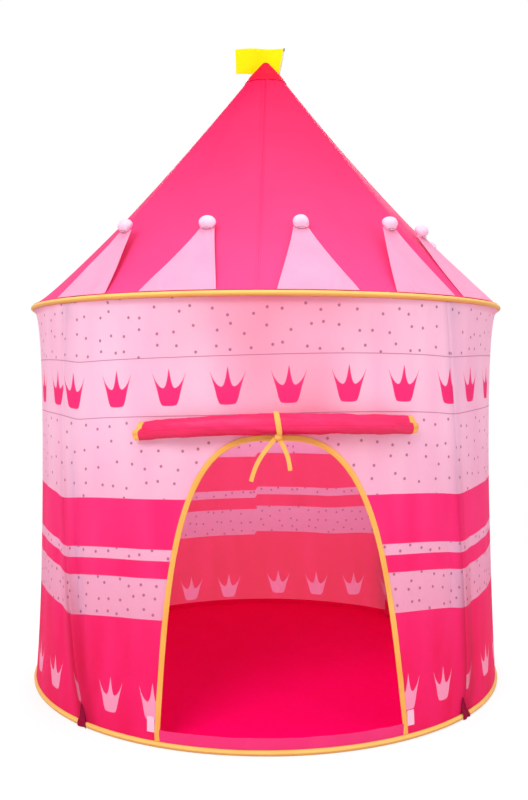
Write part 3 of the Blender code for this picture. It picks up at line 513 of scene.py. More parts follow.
def dot_mask(graph, u, v, spacing):
    """Small dots scattered one to a cell."""
    vector = graph.pair(u, graph.math("ADD", v, DOT_ROW_OFFSET))
    cells = graph.node("ShaderNodeTexVoronoi",
                       {"Vector": vector, "Scale": 1.0 / spacing, "Randomness": 0.62},
                       voronoi_dimensions="2D")
    distance = graph.times(cells.outputs["Distance"], spacing)
    return graph.math("SUBTRACT", 1.0, graph.above(distance, DOT_RADIUS, 0.0012))


def painted_fold_light(graph, u, v, stretch, scale, slope, start):
    """A share from 0 to 1 of the painted light and shade along long soft folds that run up the cloth."""
    return graph.ramp(graph.noise(graph.pair(u, graph.times(v, stretch)), scale, 1.5), slope, start)


def light_cloth_colour(graph, u, v, place, pole_shadow):
    """Light pink, deeper low down, with painted shade in its folds and half-way between the poles, and a
    painted lilac shadow over each pole.
    """
    mottle = graph.times(graph.math("SUBTRACT", graph.noise(place, 9.0, 2.0), 0.5), 0.10)
    height = graph.math("ADD", graph.ramp(v, 3.0, -0.75), mottle, clamp=True)
    # painted light and shade along upright folds
    folds = painted_fold_light(graph, u, v, 0.16, 15.0, 2.6, -0.8)
    high = graph.mix(folds, linear(FOLD_SHADE_PINK), linear(LIGHT_PINK))
    light = graph.mix(height, linear(LOW_LIGHT_PINK), high)
    # painted shade half-way between the poles, high up and towards the front
    bay = graph.math("COSINE", graph.times(u, 4.0 / HOOP_RADIUS))
    bay = graph.math("POWER", graph.math("MULTIPLY_ADD", bay, 0.5, 0.5), 1.7)
    upper = graph.ramp(v, 8.0, -3.4)
    patches = graph.ramp(graph.noise(place, 5.0, 1.0), 2.0, -0.4)
    front = graph.ramp(graph.math("COSINE", graph.times(u, 1.0 / HOOP_RADIUS)), 1.6, -0.6)
    bay_shade = graph.times(graph.times(bay, upper), graph.times(patches, front))
    light = graph.paint(light, bay_shade, 0.85, BAY_SHADE_PINK)
    # painted shadow of each pole behind the cloth, fainter higher up
    showing = graph.math("MULTIPLY_ADD", upper, -0.28, 0.5)
    return graph.mix(graph.times(pole_shadow, showing), light, linear(POLE_SHADOW_LILAC))


def hot_cloth_colour(graph, u, v):
    """Hot pink with painted highlights along upright folds, deeper towards the foot."""
    # painted highlights along upright folds
    folds = painted_fold_light(graph, u, v, 0.2, 18.0, 2.2, -0.6)
    high = graph.mix(folds, linear(HOT_PINK), linear(HOT_PINK_FOLD_HIGHLIGHT))
    low = graph.mix(folds, linear(LOW_HOT_PINK), linear(HOT_PINK))
    return graph.mix(graph.ramp(v, 4.0, -0.6), low, high)


def printed_colour(graph, u, v, place):
    """The wall's print from its flat coordinates: bands, lines, dots and two rows of crowns, then painted
    shade at the creases and under the top hoop.
    """
    shade, pole_shadow = graph.cloth_coordinates("painted_shade")
    low_u, low_v = graph.cloth_coordinates("low_row")
    light = light_cloth_colour(graph, u, v, place, pole_shadow)
    hot = hot_cloth_colour(graph, u, v)
    low_edge, wide_edge, narrow_low, narrow_high, top_edge = BAND_EDGES
    wide = graph.between(v, low_edge, wide_edge)
    narrow = graph.between(v, narrow_low, narrow_high)
    upper = graph.above(v, top_edge)
    pale = graph.math("ADD", graph.math("ADD", wide, narrow), upper, clamp=True)
    crown_band = graph.between(v, LINE_HEIGHTS[1], LINE_HEIGHTS[0])
    dotted = graph.times(pale, graph.math("SUBTRACT", 1.0, crown_band))
    dots = graph.mix(upper, dot_mask(graph, u, v, LOW_DOT_SPACING), dot_mask(graph, u, v, DOT_SPACING))
    colour = graph.paint(graph.mix(pale, hot, light), graph.times(dots, dotted), 0.85, DOT_PURPLE)
    for height in LINE_HEIGHTS:
        line = graph.between(v, height - LINE_WIDTH / 2, height + LINE_WIDTH / 2, 0.0006)
        colour = graph.paint(colour, line, 0.8, LINE_PURPLE)
    crowns = crown_row(graph, u, v, TOP_CROWN_START, TOP_CROWN_BASE, TOP_CROWN_SPREAD)
    colour = graph.mix(crowns, colour, linear(CROWN_PINK))
    low_crowns = crown_row(graph, low_u, low_v, LOW_CROWN_START, LOW_CROWN_BASE, LOW_CROWN_SPREAD)
    colour = graph.mix(low_crowns, colour, linear(LOW_CROWN_PINK))
    # painted shade at the creases and under the top hoop
    return graph.tint(shade, colour, SHADE_FACTORS)


def wall_material(name, wash, see_through):
    """The printed cloth. Its inside shows the print through the weave, a little washed out."""
    graph, u, v, place = cloth_graph(name)
    colour = printed_colour(graph, u, v, place)
    if wash > 0.0:
        colour = graph.mix(wash, colour, linear(WASHED_PRINT))
    return finish_cloth(graph, colour, woven_normal(graph, u, v, place), see_through=see_through)


def roof_material():
    """Hot pink cloth with painted light, deeper towards the point and lighter towards the hoop, with a row of
    stitches beside each seam.
    """
    graph, u, v, place = cloth_graph("roof_cloth_finish")
    # painted light: deeper towards the point and lighter towards the hoop, mottled
    rise = graph.rise(place, ROOF_LOW_Z, APEX_Z)
    mottle = graph.times(graph.math("SUBTRACT", graph.noise(place, 6.0), 0.5), 0.25)
    colour = graph.mix(graph.math("ADD", rise, mottle, clamp=True), linear(ROOF_LIT_LOW), linear(ROOF_SHADED_HIGH))
    colour = graph.paint(colour, stitch_mask(graph, v, u, (ROOF_STITCH_INSET,)), 0.5, ROOF_STITCH)
    normal = woven_normal(graph, u, v, place, 0.25)
    return finish_cloth(graph, colour, normal, 0.55, 0.42, whiter=0.12, gloss=0.08)


def stitch_mask(graph, along, across, rows):
    """Dashes of thread along a seam, in rows at given distances across it."""
    dash = graph.math("FRACT", graph.math("DIVIDE", along, STITCH_PITCH))
    dash = graph.between(dash, 0.14, 0.86, 0.1)
    lines = 0.0
    for row in rows:
        line = graph.between(across, row - STITCH_WIDTH / 2, row + STITCH_WIDTH / 2, 0.0003)
        lines = graph.math("ADD", lines, line, clamp=True)
    return graph.times(dash, lines)


def tape_material(name, rows=(), colour_shift=0.0, shaded_underside=False):
    """Folded binding tape: a ribbed weave across it, rows of stitches along it, and painted shade on its
    underside where asked.
    """
    graph, u, v, place = cloth_graph(name)
    share = graph.math("ADD", graph.noise(place, 14.0, 3.0), colour_shift - 0.1, clamp=True)
    colour = graph.mix(share, linear(TAPE_ORANGE), linear(TAPE_PALE))
    # painted shade: the tube's lower side is darkened
    if shaded_underside:
        down = graph.math("SINE", graph.times(v, -1.0 / CASING_RADIUS))
        colour = graph.tint(graph.ramp(down, 1.6, 0.2), colour, UNDERSIDE_SHADE_FACTORS)
    stitches = stitch_mask(graph, u, v, rows) if rows else 0.0
    colour = graph.paint(colour, stitches, 0.55, TAPE_STITCH)
    normal = graph.bump(graph.noise(place, 60.0, 3.0), 0.3, 0.002)
    normal = graph.bump(graph.thread(u, TAPE_RIB_PITCH), 0.3, 0.00012, normal)
    normal = graph.bump(graph.math("SUBTRACT", 1.0, stitches), 0.5, 0.0004, normal)
    return finish_cloth(graph, colour, normal, 0.5, 0.15, 0.05)


def plain_cloth_material(name, colours, see_through=0.35, roughness=0.6, hem=None, **finish):
    """Woven cloth mottled between two colours, with an optional row of stitches round its hem."""
    graph, u, v, place = cloth_graph(name)
    base, second = colours
    colour = graph.mix(graph.noise(place, 11.0, 3.0), linear(base), linear(second))
    if hem is not None:
        colour = graph.paint(colour, stitch_mask(graph, v, u, (hem,)), 0.35, HEM_STITCH)
    return finish_cloth(graph, colour, woven_normal(graph, u, v, place), roughness, see_through, **finish)


def rolled_cloth_material():
    """The door's cloth where it is wound, lighter along the middle: painted shade darkens slanting fold
    streaks and its underside.
    """
    graph, u, v, place = cloth_graph("rolled_door_finish")
    base, deep = ROLL_PINKS
    colour = graph.mix(graph.noise(place, 14.0, 2.0), linear(base), linear(deep))
    # painted shade along slanting fold streaks
    slanting = graph.math("MULTIPLY_ADD", u, 0.22, graph.times(v, 1.4))
    folds = graph.ramp(graph.noise(graph.pair(graph.times(u, 0.35), slanting), 60.0, 1.5), 2.6, -0.9)
    colour = graph.tint(graph.times(folds, 0.45), colour, SHADE_FACTORS)
    # painted shade on the roll's underside
    down = graph.math("SINE", graph.times(v, -1.0 / ROLL_RADIUS))
    under = graph.ramp(down, 1.1, -0.1)
    colour = graph.tint(graph.times(under, 0.75), colour, SHADE_FACTORS)
    normal = woven_normal(graph, u, v, place)
    return finish_cloth(graph, colour, normal, 0.5, 0.1, whiter=0.1, gloss=0.3)


def tip_material():
    """Doubled cloth, red at the point and running into the roof's pink at its lower edge."""
    graph, u, v, place = cloth_graph("point_cloth_finish")
    share = graph.rise(place, ROOF_LOW_Z + (APEX_Z - ROOF_LOW_Z) * TIP_LOW_SHARE, APEX_Z)
    share = graph.math("ADD", share, graph.times(graph.noise(place, 30.0), 0.15), clamp=True)
    colour = graph.mix(share, linear(TIP_LOW_RED), linear(TIP_RED))
    normal = woven_normal(graph, u, v, place)
    return finish_cloth(graph, colour, normal, 0.55, 0.25, whiter=0.0, gloss=0.06)


def steel_material():
    graph = Graph("spring_wire_finish")
    streaks = graph.noise(graph.place(), 220.0, 4.0)
    colour = graph.mix(streaks, *STEEL_SHADES)
    return finish_solid(graph, colour, graph.bump(streaks, 0.3, 0.0002), 0.32, 1.0)


def pole_material():
    """White glass fibre rod: faint streaks along it."""
    graph = Graph("pole_finish")
    stretched = graph.node("ShaderNodeMapping", {"Vector": graph.place(), "Scale": (1.0, 1.0, 0.04)})
    streaks = graph.noise(stretched.outputs[0], 900.0, 3.0)
    colour = graph.mix(streaks, *POLE_SHADES)
    return finish_solid(graph, colour, graph.bump(streaks, 0.25, 0.0002), 0.38)


def moulded_material():
    """Black moulded plastic with a fine spark-eroded grain."""
    graph = Graph("moulded_socket_finish")
    place = graph.place()
    grain = graph.noise(place, 1400.0, 2.0)
    colour = graph.mix(graph.noise(place, 60.0, 2.0), *PLASTIC_SHADES)
    return finish_solid(graph, colour, graph.bump(grain, 0.4, 0.0002), 0.5)


def stick_material():
    """The flag's stick, with a dark cap on its end."""
    graph = Graph("flag_stick_finish")
    place = graph.place()
    streaks = graph.noise(place, 700.0, 3.0)
    cap = graph.rise(place, STICK_CAP_Z - 0.0005, STICK_CAP_Z + 0.0005)
    colour = graph.mix(cap, graph.mix(streaks, *STICK_SHADES), STICK_CAP_SHADE)
    return finish_solid(graph, colour, graph.bump(streaks, 0.2, 0.0001), 0.4)


def catch_patch_material():
    """A small sewn patch of pale looped tape."""
    graph = Graph("catch_patch_finish")
    loops = graph.noise(graph.place(), 900.0, 2.0)
    base, second = PATCH_PINKS
    colour = graph.mix(loops, linear(base), linear(second))
    return finish_cloth(graph, colour, graph.bump(loops, 0.8, 0.0005), 0.8, 0.1, 0.3)


# Meshes

def surface_point(radius, azimuth, z):
    """Points at a radius and azimuth, as an array whose last axis is x, y, z."""
    angle = np.radians(azimuth)
    radius, angle, z = np.broadcast_arrays(radius, angle, z)
    return np.stack([radius * np.sin(angle), -radius * np.cos(angle), z], axis=-1)


def outward(azimuth):
    return surface_point(1.0, azimuth, 0.0)


def unit(vectors):
    return vectors / np.linalg.norm(vectors, axis=-1, keepdims=True)


def flat_place(azimuth, z):
    """Flat coordinates of a place on the wall: its length round the hoop, and its height."""
    return np.stack([HOOP_RADIUS * np.radians(azimuth), z], axis=-1)


def rising(low, high, rows, columns):
    """Values that change evenly from row to row of a grid."""
    return np.linspace(low, high, rows)[:, None] * np.ones(columns)


def crossing(low, high, rows, columns):
    """Values that change evenly from column to column of a grid."""
    return np.linspace(low, high, columns)[None, :] * np.ones((rows, 1))


def round_angles(count):
    """Evenly spaced angles round a circle, in radians."""
    return [2.0 * math.pi * index / count for index in range(count)]


def lengths_along(points):
    """How far each point lies along a line of points."""
    return np.concatenate([[0.0], np.cumsum(np.linalg.norm(np.diff(points, axis=0), axis=1))])


def grid_normals(points):
    """Unit normals of a grid of points, from its neighbours along both ways."""
    across = np.gradient(points, axis=1)
    along = np.gradient(points, axis=0)
    return unit(np.cross(across, along))


def link_piece(name, points, faces, materials, face_materials=None, uv=None, layers=None):
    """Make one object from points and faces; uv holds flat coordinates in metres for each point."""
    mesh = bpy.data.meshes.new(name)
    mesh.from_pydata([tuple(point) for point in np.asarray(points, float)], [], faces)
    for material in materials:
        mesh.materials.append(material)
    if face_materials is not None:
        mesh.polygons.foreach_set("material_index", np.asarray(face_materials, np.int32))
    corners = np.zeros(len(mesh.loops), np.int32)
    mesh.loops.foreach_get("vertex_index", corners)
    all_layers = dict(layers or {})
    if uv is not None:
        all_layers = {"cloth": uv, **all_layers}
    for layer_name, values in all_layers.items():
        layer = mesh.uv_layers.new(name=layer_name)
        layer.data.foreach_set("uv", np.asarray(values, np.float32)[corners].ravel())
    shape = bmesh.new()
    shape.from_mesh(mesh)
    bmesh.ops.recalc_face_normals(shape, faces=shape.faces)
    shape.to_mesh(mesh)
    shape.free()
    mesh.shade_smooth()
    mesh.set_sharp_from_angle(angle=math.radians(50.0))
    piece = bpy.data.objects.new(name, mesh)
    bpy.context.scene.collection.objects.link(piece)
    return piece


def settle(piece, body, slot, *nodes):
    """Hide the nodes that the piece stands for, and let it ride on its body. The slot is not used."""
    if nodes:
        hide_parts(*nodes)
    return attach(piece, body)


def cloth_solid(name, middle, uv, materials, thickness=CLOTH, keep=None, normals=None, layers=None):
    """A thin closed sheet round a grid of points: outside, inside and rim faces."""
    rows, columns = middle.shape[:2]
    if normals is None:
        normals = grid_normals(middle)
    outer = (middle + normals * (thickness / 2)).reshape(-1, 3)
    inner = (middle + normals * (-thickness / 2)).reshape(-1, 3)
    count = rows * columns
    faces, kinds, edges = [], [], {}
    for row in range(rows - 1):
        for column in range(columns - 1):
            if keep is not None and not keep[row, column]:
                continue
            low = row * columns + column
            high = low + columns
            corners = (low, low + 1, high + 1, high)
            faces.append(corners)
            kinds.append(0)
            faces.append(tuple(corner + count for corner in reversed(corners)))
            kinds.append(1)
            for pair in zip(corners, corners[1:] + corners[:1]):
                edges[pair] = True
    last_kind = len(materials) - 1
    for first, second in edges:
        if (second, first) not in edges:
            faces.append((second, first, first + count, second + count))
            kinds.append(last_kind)
    points = np.concatenate([outer, inner])
    flat = np.concatenate([uv.reshape(-1, 2), uv.reshape(-1, 2)])
    kinds = [min(kind, last_kind) for kind in kinds]
    used = np.unique([corner for face in faces for corner in face])
    new_index = np.full(len(points), -1)
    new_index[used] = np.arange(len(used))
    faces = [tuple(int(new_index[corner]) for corner in face) for face in faces]
    both = {}
    for layer_name, values in (layers or {}).items():
        values = values.reshape(-1, 2)
        both[layer_name] = np.concatenate([values, values])[used]
    return link_piece(name, points[used], faces, materials, kinds, flat[used], both)


def upright_cloth(name, middle, azimuth, z, material, thickness, slot, *nodes):
    """A small upright sheet that faces outward and stays on the tent."""
    piece = cloth_solid(name, middle, flat_place(azimuth, z), [material], thickness,
                        normals=outward(azimuth))
    settle(piece, "root", slot, *nodes)
    return piece


def ring_faces(count, sides, closed=False):
    """Faces between rings of points; closed joins the last ring to the first."""
    faces = []
    for ring in range(count if closed else count - 1):
        here = ring * sides
        there = (ring + 1) % count * sides
        for side in range(sides):
            turn = (side + 1) % sides
            faces.append((here + side, here + turn, there + turn, there + side))
    return faces


def loft(name, rings, materials, uv=None, closed=False):
    """A skin through rings of points, with a cap at each end or else closed into a loop."""
    rings = np.asarray(rings, float)
    count, sides = rings.shape[:2]
    faces = ring_faces(count, sides, closed)
    if not closed:
        faces.append(tuple(reversed(range(sides))))
        faces.append(tuple(range((count - 1) * sides, count * sides)))
    if uv is None:
        length = lengths_along(rings.mean(axis=1))
        across = np.linspace(0.0, 1.0, sides, endpoint=False) * 0.01
        uv = np.stack(np.meshgrid(length, across, indexing="ij"), axis=-1)
    return link_piece(name, rings.reshape(-1, 3), faces, materials, None, uv.reshape(-1, 2))


def ripple(value, seed):
    """A slow irregular wave between about -1 and 1."""
    total = np.zeros_like(np.asarray(value, float))
    for order, share in enumerate((0.5, 0.3, 0.2)):
        rate = 1.0 + 0.83 * order
        total = total + share * np.sin(rate * value + seed * (1.7 + order))
    return total


def smooth_step(value, low, high):
    share = np.clip((value - low) / (high - low), 0.0, 1.0)
    return share * share * (3.0 - 2.0 * share)


def bump_at(value, centre, width):
    return np.exp(-((value - centre) / width) ** 2)


# Wall

def twist(z):
    """How far the poles are turned at a height."""
    return TOP_TWIST * np.clip((z - LOW_HOOP_Z) / (HIGH_HOOP_Z - LOW_HOOP_Z), 0.0, 1.0)


def pole_azimuth(corner, z):
    return POLE_AZIMUTHS[corner] + twist(z)


def wall_share(z):
    """How far up the wall a height is, from 0 to 1."""
    return np.clip((z - WALL_LOW_Z) / (WALL_HIGH_Z - WALL_LOW_Z), 0.0, 1.0)


def next_corner(start):
    """The corner where a panel ends, and the full turn to add where that passes 360 degrees."""
    end = (start + 1) % 4
    return end, BAY * (end < start) * 4.0


def crease_azimuth(corner, z):
    """Where the cloth is folded beside a pole: a little past it, and further half-way up."""
    share = wall_share(z)
    bow = CREASE_SHIFTS[corner] * np.minimum(1.0, 8.0 * share) + CREASE_BOWS[corner] * np.sin(np.pi * share)
    bow = bow + CREASE_LEANS[corner] * (0.28 - share) * smooth_step(share, 0.0, 0.06)
    return pole_azimuth(corner, z) + bow


def waist_share(height):
    height = np.clip(height, 0.0, 1.0)
    return height ** WAIST_LOW_POWER * (1.0 - height) ** WAIST_HIGH_POWER


def wall_waist(z):
    """How far the cloth is drawn in half-way between two poles at a height."""
    deepest = waist_share(WAIST_LOW_POWER / (WAIST_LOW_POWER + WAIST_HIGH_POWER))
    return WALL_WAIST * waist_share((z - WALL_LOW_Z) / (WALL_HIGH_Z - WALL_LOW_Z)) / deepest


def wall_folds(azimuth, z):
    """Soft upright folds, with small gathers beside the two hoops."""
    height = wall_share(z)
    middle = np.sin(np.pi * height) ** 0.7
    broad = ripple(np.radians(azimuth) * 9.0 + 0.5 * height, 2.0) * (0.6 + 0.4 * ripple(5.0 * height, 1.0))
    narrow = ripple(np.radians(azimuth) * 24.0 - 1.2 * height, 5.0)
    hems = np.exp(-height / 0.05) + np.exp(-(1.0 - height) / 0.04)
    hems = hems * np.minimum(1.0, 30.0 * np.minimum(height, 1.0 - height))
    gathers = ripple(np.radians(azimuth) * 130.0, 3.0) * (0.6 + 0.4 * ripple(np.radians(azimuth) * 11.0, 8.0))
    return BROAD_FOLD * broad * middle + NARROW_FOLD * narrow * middle + HOOP_GATHER * gathers * hems


def wall_radius(start, azimuth, z):
    """The cloth's middle in the bay from one corner to the next, drawn in between the poles."""
    end, turn = next_corner(start)
    low = np.maximum(pole_azimuth(start, z), crease_azimuth(start, z))
    high = np.minimum(pole_azimuth(end, z), crease_azimuth(end, z)) + turn
    share = np.clip((azimuth - low) / (high - low), 0.0, 1.0)
    drawn = np.sin(np.pi * share)
    near_pole = np.minimum(np.abs(azimuth - pole_azimuth(start, z)),
                           np.abs(azimuth - turn - pole_azimuth(end, z)))
    clear = smooth_step(near_pole, 0.8, 6.0)
    return HOOP_RADIUS - wall_waist(z) * drawn + wall_folds(azimuth, z) * clear


def crease_tuck(azimuth, crease, z, side):
    """The edge of a panel turns in at a crease, most at the foot; side is 1 where the panel ends there."""
    inside = (crease - azimuth) * side
    under = np.clip(-inside / PANEL_LAP, 0.0, 1.0)
    height = (z - WALL_LOW_Z) / (WALL_HIGH_Z - WALL_LOW_Z)
    foot = np.exp(-height / 0.10)
    edge = np.exp(-(inside / 0.35) ** 2)
    furrow = bump_at(inside, 4.2, 1.7) * np.sin(np.pi * np.clip(height * 1.5 + 0.06, 0.0, 1.0))
    turned = CREASE_TURN_IN * edge * (1.0 - foot) + CREASE_TURN_IN_AT_FOOT * edge * foot
    return -turned - CREASE_FURROW * furrow - CREASE_LAP_DEPTH * smooth_step(under, 0.0, 0.6)


def over_pole(radius, azimuth, pole, z):
    """Hold the cloth off a pole, whose outer side is bowed towards it."""
    height = wall_share(z)
    pole_side = POLE_SIDE_AT_FOOT + POLE_BOW * np.sin(np.pi * height)
    tangent = pole_side + CLOTH + 0.0004 - 0.0035 * ((azimuth - pole) / 0.8) ** 2
    return np.maximum(radius, tangent)


def panel_surface(start, azimuth, z):
    end, turn = next_corner(start)
    radius = wall_radius(start, azimuth, z)
    radius = radius + crease_tuck(azimuth, crease_azimuth(start, z), z, -1.0)
    radius = radius + crease_tuck(azimuth, crease_azimuth(end, z) + turn, z, 1.0)
    radius = over_pole(radius, azimuth, pole_azimuth(start, z), z)
    return over_pole(radius, azimuth, pole_azimuth(end, z) + turn, z)


def print_drop(azimuth, z):
    """How far the print hangs below its level: the left half is lower, and it dips at each crease."""
    azimuth = (azimuth + 180.0) % 360.0 - 180.0
    drop = PRINT_DROP * smooth_step(-azimuth, -20.0, 40.0)
    from_back = np.abs((azimuth % 360.0) - 180.0)
    back_drop = np.clip(BACK_PRINT_DROP - BACK_DROP_LOSS * (z - 0.3), 0.0, BACK_PRINT_DROP)
    drop = drop + back_drop * (1.0 - smooth_step(from_back, 22.0, 44.0))
    depth = np.maximum(0.0, CREASE_DIP_AT_FOOT - CREASE_DIP_LOSS * z) * smooth_step(z, 0.02, 0.20)
    for corner in range(4):
        crease = crease_azimuth(corner, z) + HIGH_DIP_TURN[corner] * smooth_step(z, 0.48, 0.60)
        away = (azimuth - crease + 180.0) % 360.0 - 180.0
        width = np.where(away < 0.0, CREASE_DIP_BEFORE[corner], CREASE_DIP_AFTER[corner])
        drop = drop + depth * np.exp((CREASE_ROUNDING - np.sqrt(away ** 2 + CREASE_ROUNDING ** 2)) / width)
    return drop


def low_crown_place(azimuth):
    """Flat coordinate of the low crowns on the front panel, where they stand closer together."""
    first = np.where(azimuth < 0.0, LOW_CROWNS_LEFT[0], LOW_CROWNS_RIGHT[0])
    pitch = np.where(azimuth < 0.0, LOW_CROWNS_LEFT[1], LOW_CROWNS_RIGHT[1])
    place = np.where(azimuth < 0.0, -2.0, 2.0) + (azimuth - first) / pitch
    return LOW_CROWN_START + CROWN_PITCH * np.clip(place, -3.5, 3.5)


def panel_painted_shade(start, azimuth, z):
    """Painted shade where a panel is in the shade of a crease or of the top hoop, and painted shadow where a
    pole stands behind the cloth.
    """
    end, turn = next_corner(start)
    height = wall_share(z)
    from_start = azimuth - crease_azimuth(start, z)
    to_end = crease_azimuth(end, z) + turn - azimuth
    bay = np.sin(np.pi * np.clip(from_start / (from_start + to_end), 0.0, 1.0))
    foot = 1.0 - smooth_step(height, 0.10, 0.46)
    # painted shade beside each crease, strongest at the foot
    shade = foot * (0.75 * bump_at(from_start, 2.4, 1.9) + 0.60 * bump_at(to_end, 0.6, 1.6))
    fading = 0.22 - 0.14 * smooth_step(height, 0.5, 0.7)
    shade = shade + fading * (bump_at(from_start, 1.0, 0.8) + bump_at(to_end, 0.6, 0.8))
    # painted shadow of the top hoop on the wall below it, widest half-way between poles
    shade = shade + 0.40 * (1.0 - smooth_step(WALL_HIGH_Z - z, 0.002, 0.005 + 0.012 * bay))
    # painted shadow of each pole behind the cloth
    pole_shadow = bump_at(azimuth - pole_azimuth(start, z), -0.8, 2.4)
    pole_shadow = pole_shadow + bump_at(azimuth - pole_azimuth(end, z) - turn, -0.8, 2.4)
    return np.clip(shade, 0.0, 1.0), np.clip(pole_shadow, 0.0, 1.0)


def wall_panel(name, start, materials, doorway=False):
    """One panel of printed cloth from crease to crease, as a thin closed sheet."""
    end, turn = next_corner(start)
    columns, rows = 150, 140
    share = np.linspace(0.0, 1.0, columns)
    share = share - 0.06 * np.sin(2.0 * np.pi * share) / np.pi
    z = WALL_LOW_Z + (WALL_HIGH_Z - WALL_LOW_Z) * rising(0.0, 1.0, rows, columns)
    low = crease_azimuth(start, z) - PANEL_LAP
    high = crease_azimuth(end, z) + turn
    azimuth = low + (high - low) * share
    keep = None
    if doorway:
        azimuth, z, keep = cut_doorway(azimuth - 360.0, z)
    plain = azimuth + (360.0 if doorway else 0.0)
    middle = surface_point(panel_surface(start, plain, z), azimuth, z)
    u = HOOP_RADIUS * np.radians(azimuth) + PRINT_SHIFTS.get(name, 0.0)
    v = z + print_drop(azimuth, z)
    if name in ("back_wall_cloth", "left_wall_cloth"):
        past = smooth_step(azimuth, BACK_SEAM - BACK_SEAM_HALF_WIDTH, BACK_SEAM + BACK_SEAM_HALF_WIDTH)
        u = u - past * HOOP_RADIUS * math.radians(BACK_SEAM_LOSS)
    # painted shade and painted pole shadow, carried to the material in a second coordinate layer
    shade, pole_shadow = panel_painted_shade(start, plain, z)
    low_u = low_crown_place(azimuth) if doorway else u
    layers = {"painted_shade": np.stack([shade, pole_shadow], axis=-1), "low_row": np.stack([low_u, v], axis=-1)}
    return cloth_solid(name, middle, np.stack([u, v], axis=-1), materials, keep=keep,
                       normals=outward(azimuth), layers=layers)


def door_half_angle(z):
    rise = np.clip((z - DOOR_SILL_HEIGHT) / (DOOR_TOP_HEIGHT - DOOR_SILL_HEIGHT), 0.0, 1.0)
    arch = np.cbrt(1.0 - rise ** DOOR_ARCH_POWER)
    return np.degrees(DOOR_HALF_WIDTH * (1.0 - DOOR_TAPER * rise) * arch / HOOP_RADIUS)


def door_middle(z):
    """The azimuth of the doorway's middle line, which leans with the turned wall."""
    return DOOR_FOOT_TURN + DOOR_TWIST_SHARE * twist(z)


def door_outline(spacing):
    """Points (arc length, z) evenly spaced up the doorway's left side, over the arch and down."""
    turn = np.linspace(0.0, 1.0, 400)
    rise = np.sin(turn * np.pi / 2) ** (2.0 / DOOR_ARCH_POWER)
    z = DOOR_SILL_HEIGHT + (DOOR_TOP_HEIGHT - DOOR_SILL_HEIGHT) * rise
    z = np.concatenate([[WALL_LOW_Z], z])
    half = door_half_angle(z)
    left = HOOP_RADIUS * np.radians(door_middle(z) - half)
    right = HOOP_RADIUS * np.radians(door_middle(z) + half)
    line = np.concatenate([np.stack([left, z], axis=1), np.stack([right, z], axis=1)[-2::-1]])
    length = lengths_along(line)
    count = int(length[-1] / spacing) + 1
    wanted = np.linspace(0.0, length[-1], count)
    return np.stack([np.interp(wanted, length, line[:, 0]), np.interp(wanted, length, line[:, 1])], axis=1)


def cut_doorway(azimuth, z):
    """Drop the cells inside the doorway and move the points round the hole onto its outline."""
    arc = np.radians(azimuth) * HOOP_RADIUS
    inside = np.abs(azimuth - door_middle(z)) < door_half_angle(z)
    inside &= z < DOOR_TOP_HEIGHT
    cells = ((slice(None, -1), slice(None, -1)), (slice(1, None), slice(None, -1)),
             (slice(None, -1), slice(1, None)), (slice(1, None), slice(1, None)))
    keep = sum(inside[cell].astype(int) for cell in cells) < 3
    kept_point = np.zeros(inside.shape, bool)
    dropped_point = np.zeros(inside.shape, bool)
    for cell in cells:
        kept_point[cell] |= keep
        dropped_point[cell] |= ~keep
    rim = kept_point & dropped_point
    outline = door_outline(0.0005)
    for row, column in np.argwhere(rim):
        gap = np.hypot(outline[:, 0] - arc[row, column], outline[:, 1] - z[row, column])
        nearest = outline[np.argmin(gap)]
        arc[row, column] = nearest[0]
        if row > 0:
            z[row, column] = nearest[1]
    return np.degrees(arc / HOOP_RADIUS), z, keep


def front_point(azimuth, z, lift=0.0):
    """A point on the front panel's surface or lifted off it."""
    azimuth = np.asarray(azimuth, float)
    z = np.asarray(z, float)
    return surface_point(panel_surface(3, azimuth + 360.0, z) + lift, azimuth, z)


def add_walls():
    outside = wall_material("printed_cloth_outside", 0.0, 0.42)
    inside = wall_material("printed_cloth_inside", 0.20, 0.60)
    panels = (("right_wall_cloth", 0, "wall_right"), ("back_wall_cloth", 1, "wall_back"),
              ("left_wall_cloth", 2, "wall_left"), ("front_wall_cloth", 3, "wall_front"))
    for name, start, node in panels:
        doorway = node == "wall_front"
        piece = wall_panel(name, start, [outside, inside, outside], doorway)
        settle(piece, "root", "printed_cloth", node)


def add_sill():
    """The low strip of cloth across the doorway, rippled a little towards its top edge."""
    material = plain_cloth_material("sill_cloth_finish", SILL_PINKS, 0.3)
    side = float(door_half_angle(np.float64(DOOR_SILL_HEIGHT))) - 0.05
    z = rising(WALL_LOW_Z, DOOR_SILL_HEIGHT, 8, 90)
    azimuth = door_middle(z) + crossing(-side, side, 8, 90)
    share = (z - WALL_LOW_Z) / (DOOR_SILL_HEIGHT - WALL_LOW_Z)
    sag = 0.0012 * ripple(np.radians(azimuth) * 30.0, 4.0) * share
    middle = surface_point(HOOP_RADIUS + sag, azimuth, z)
    piece = upright_cloth("door_sill_cloth", middle, azimuth, z, material, SILL_CLOTH,
                          "roof_cloth", "door_sill")


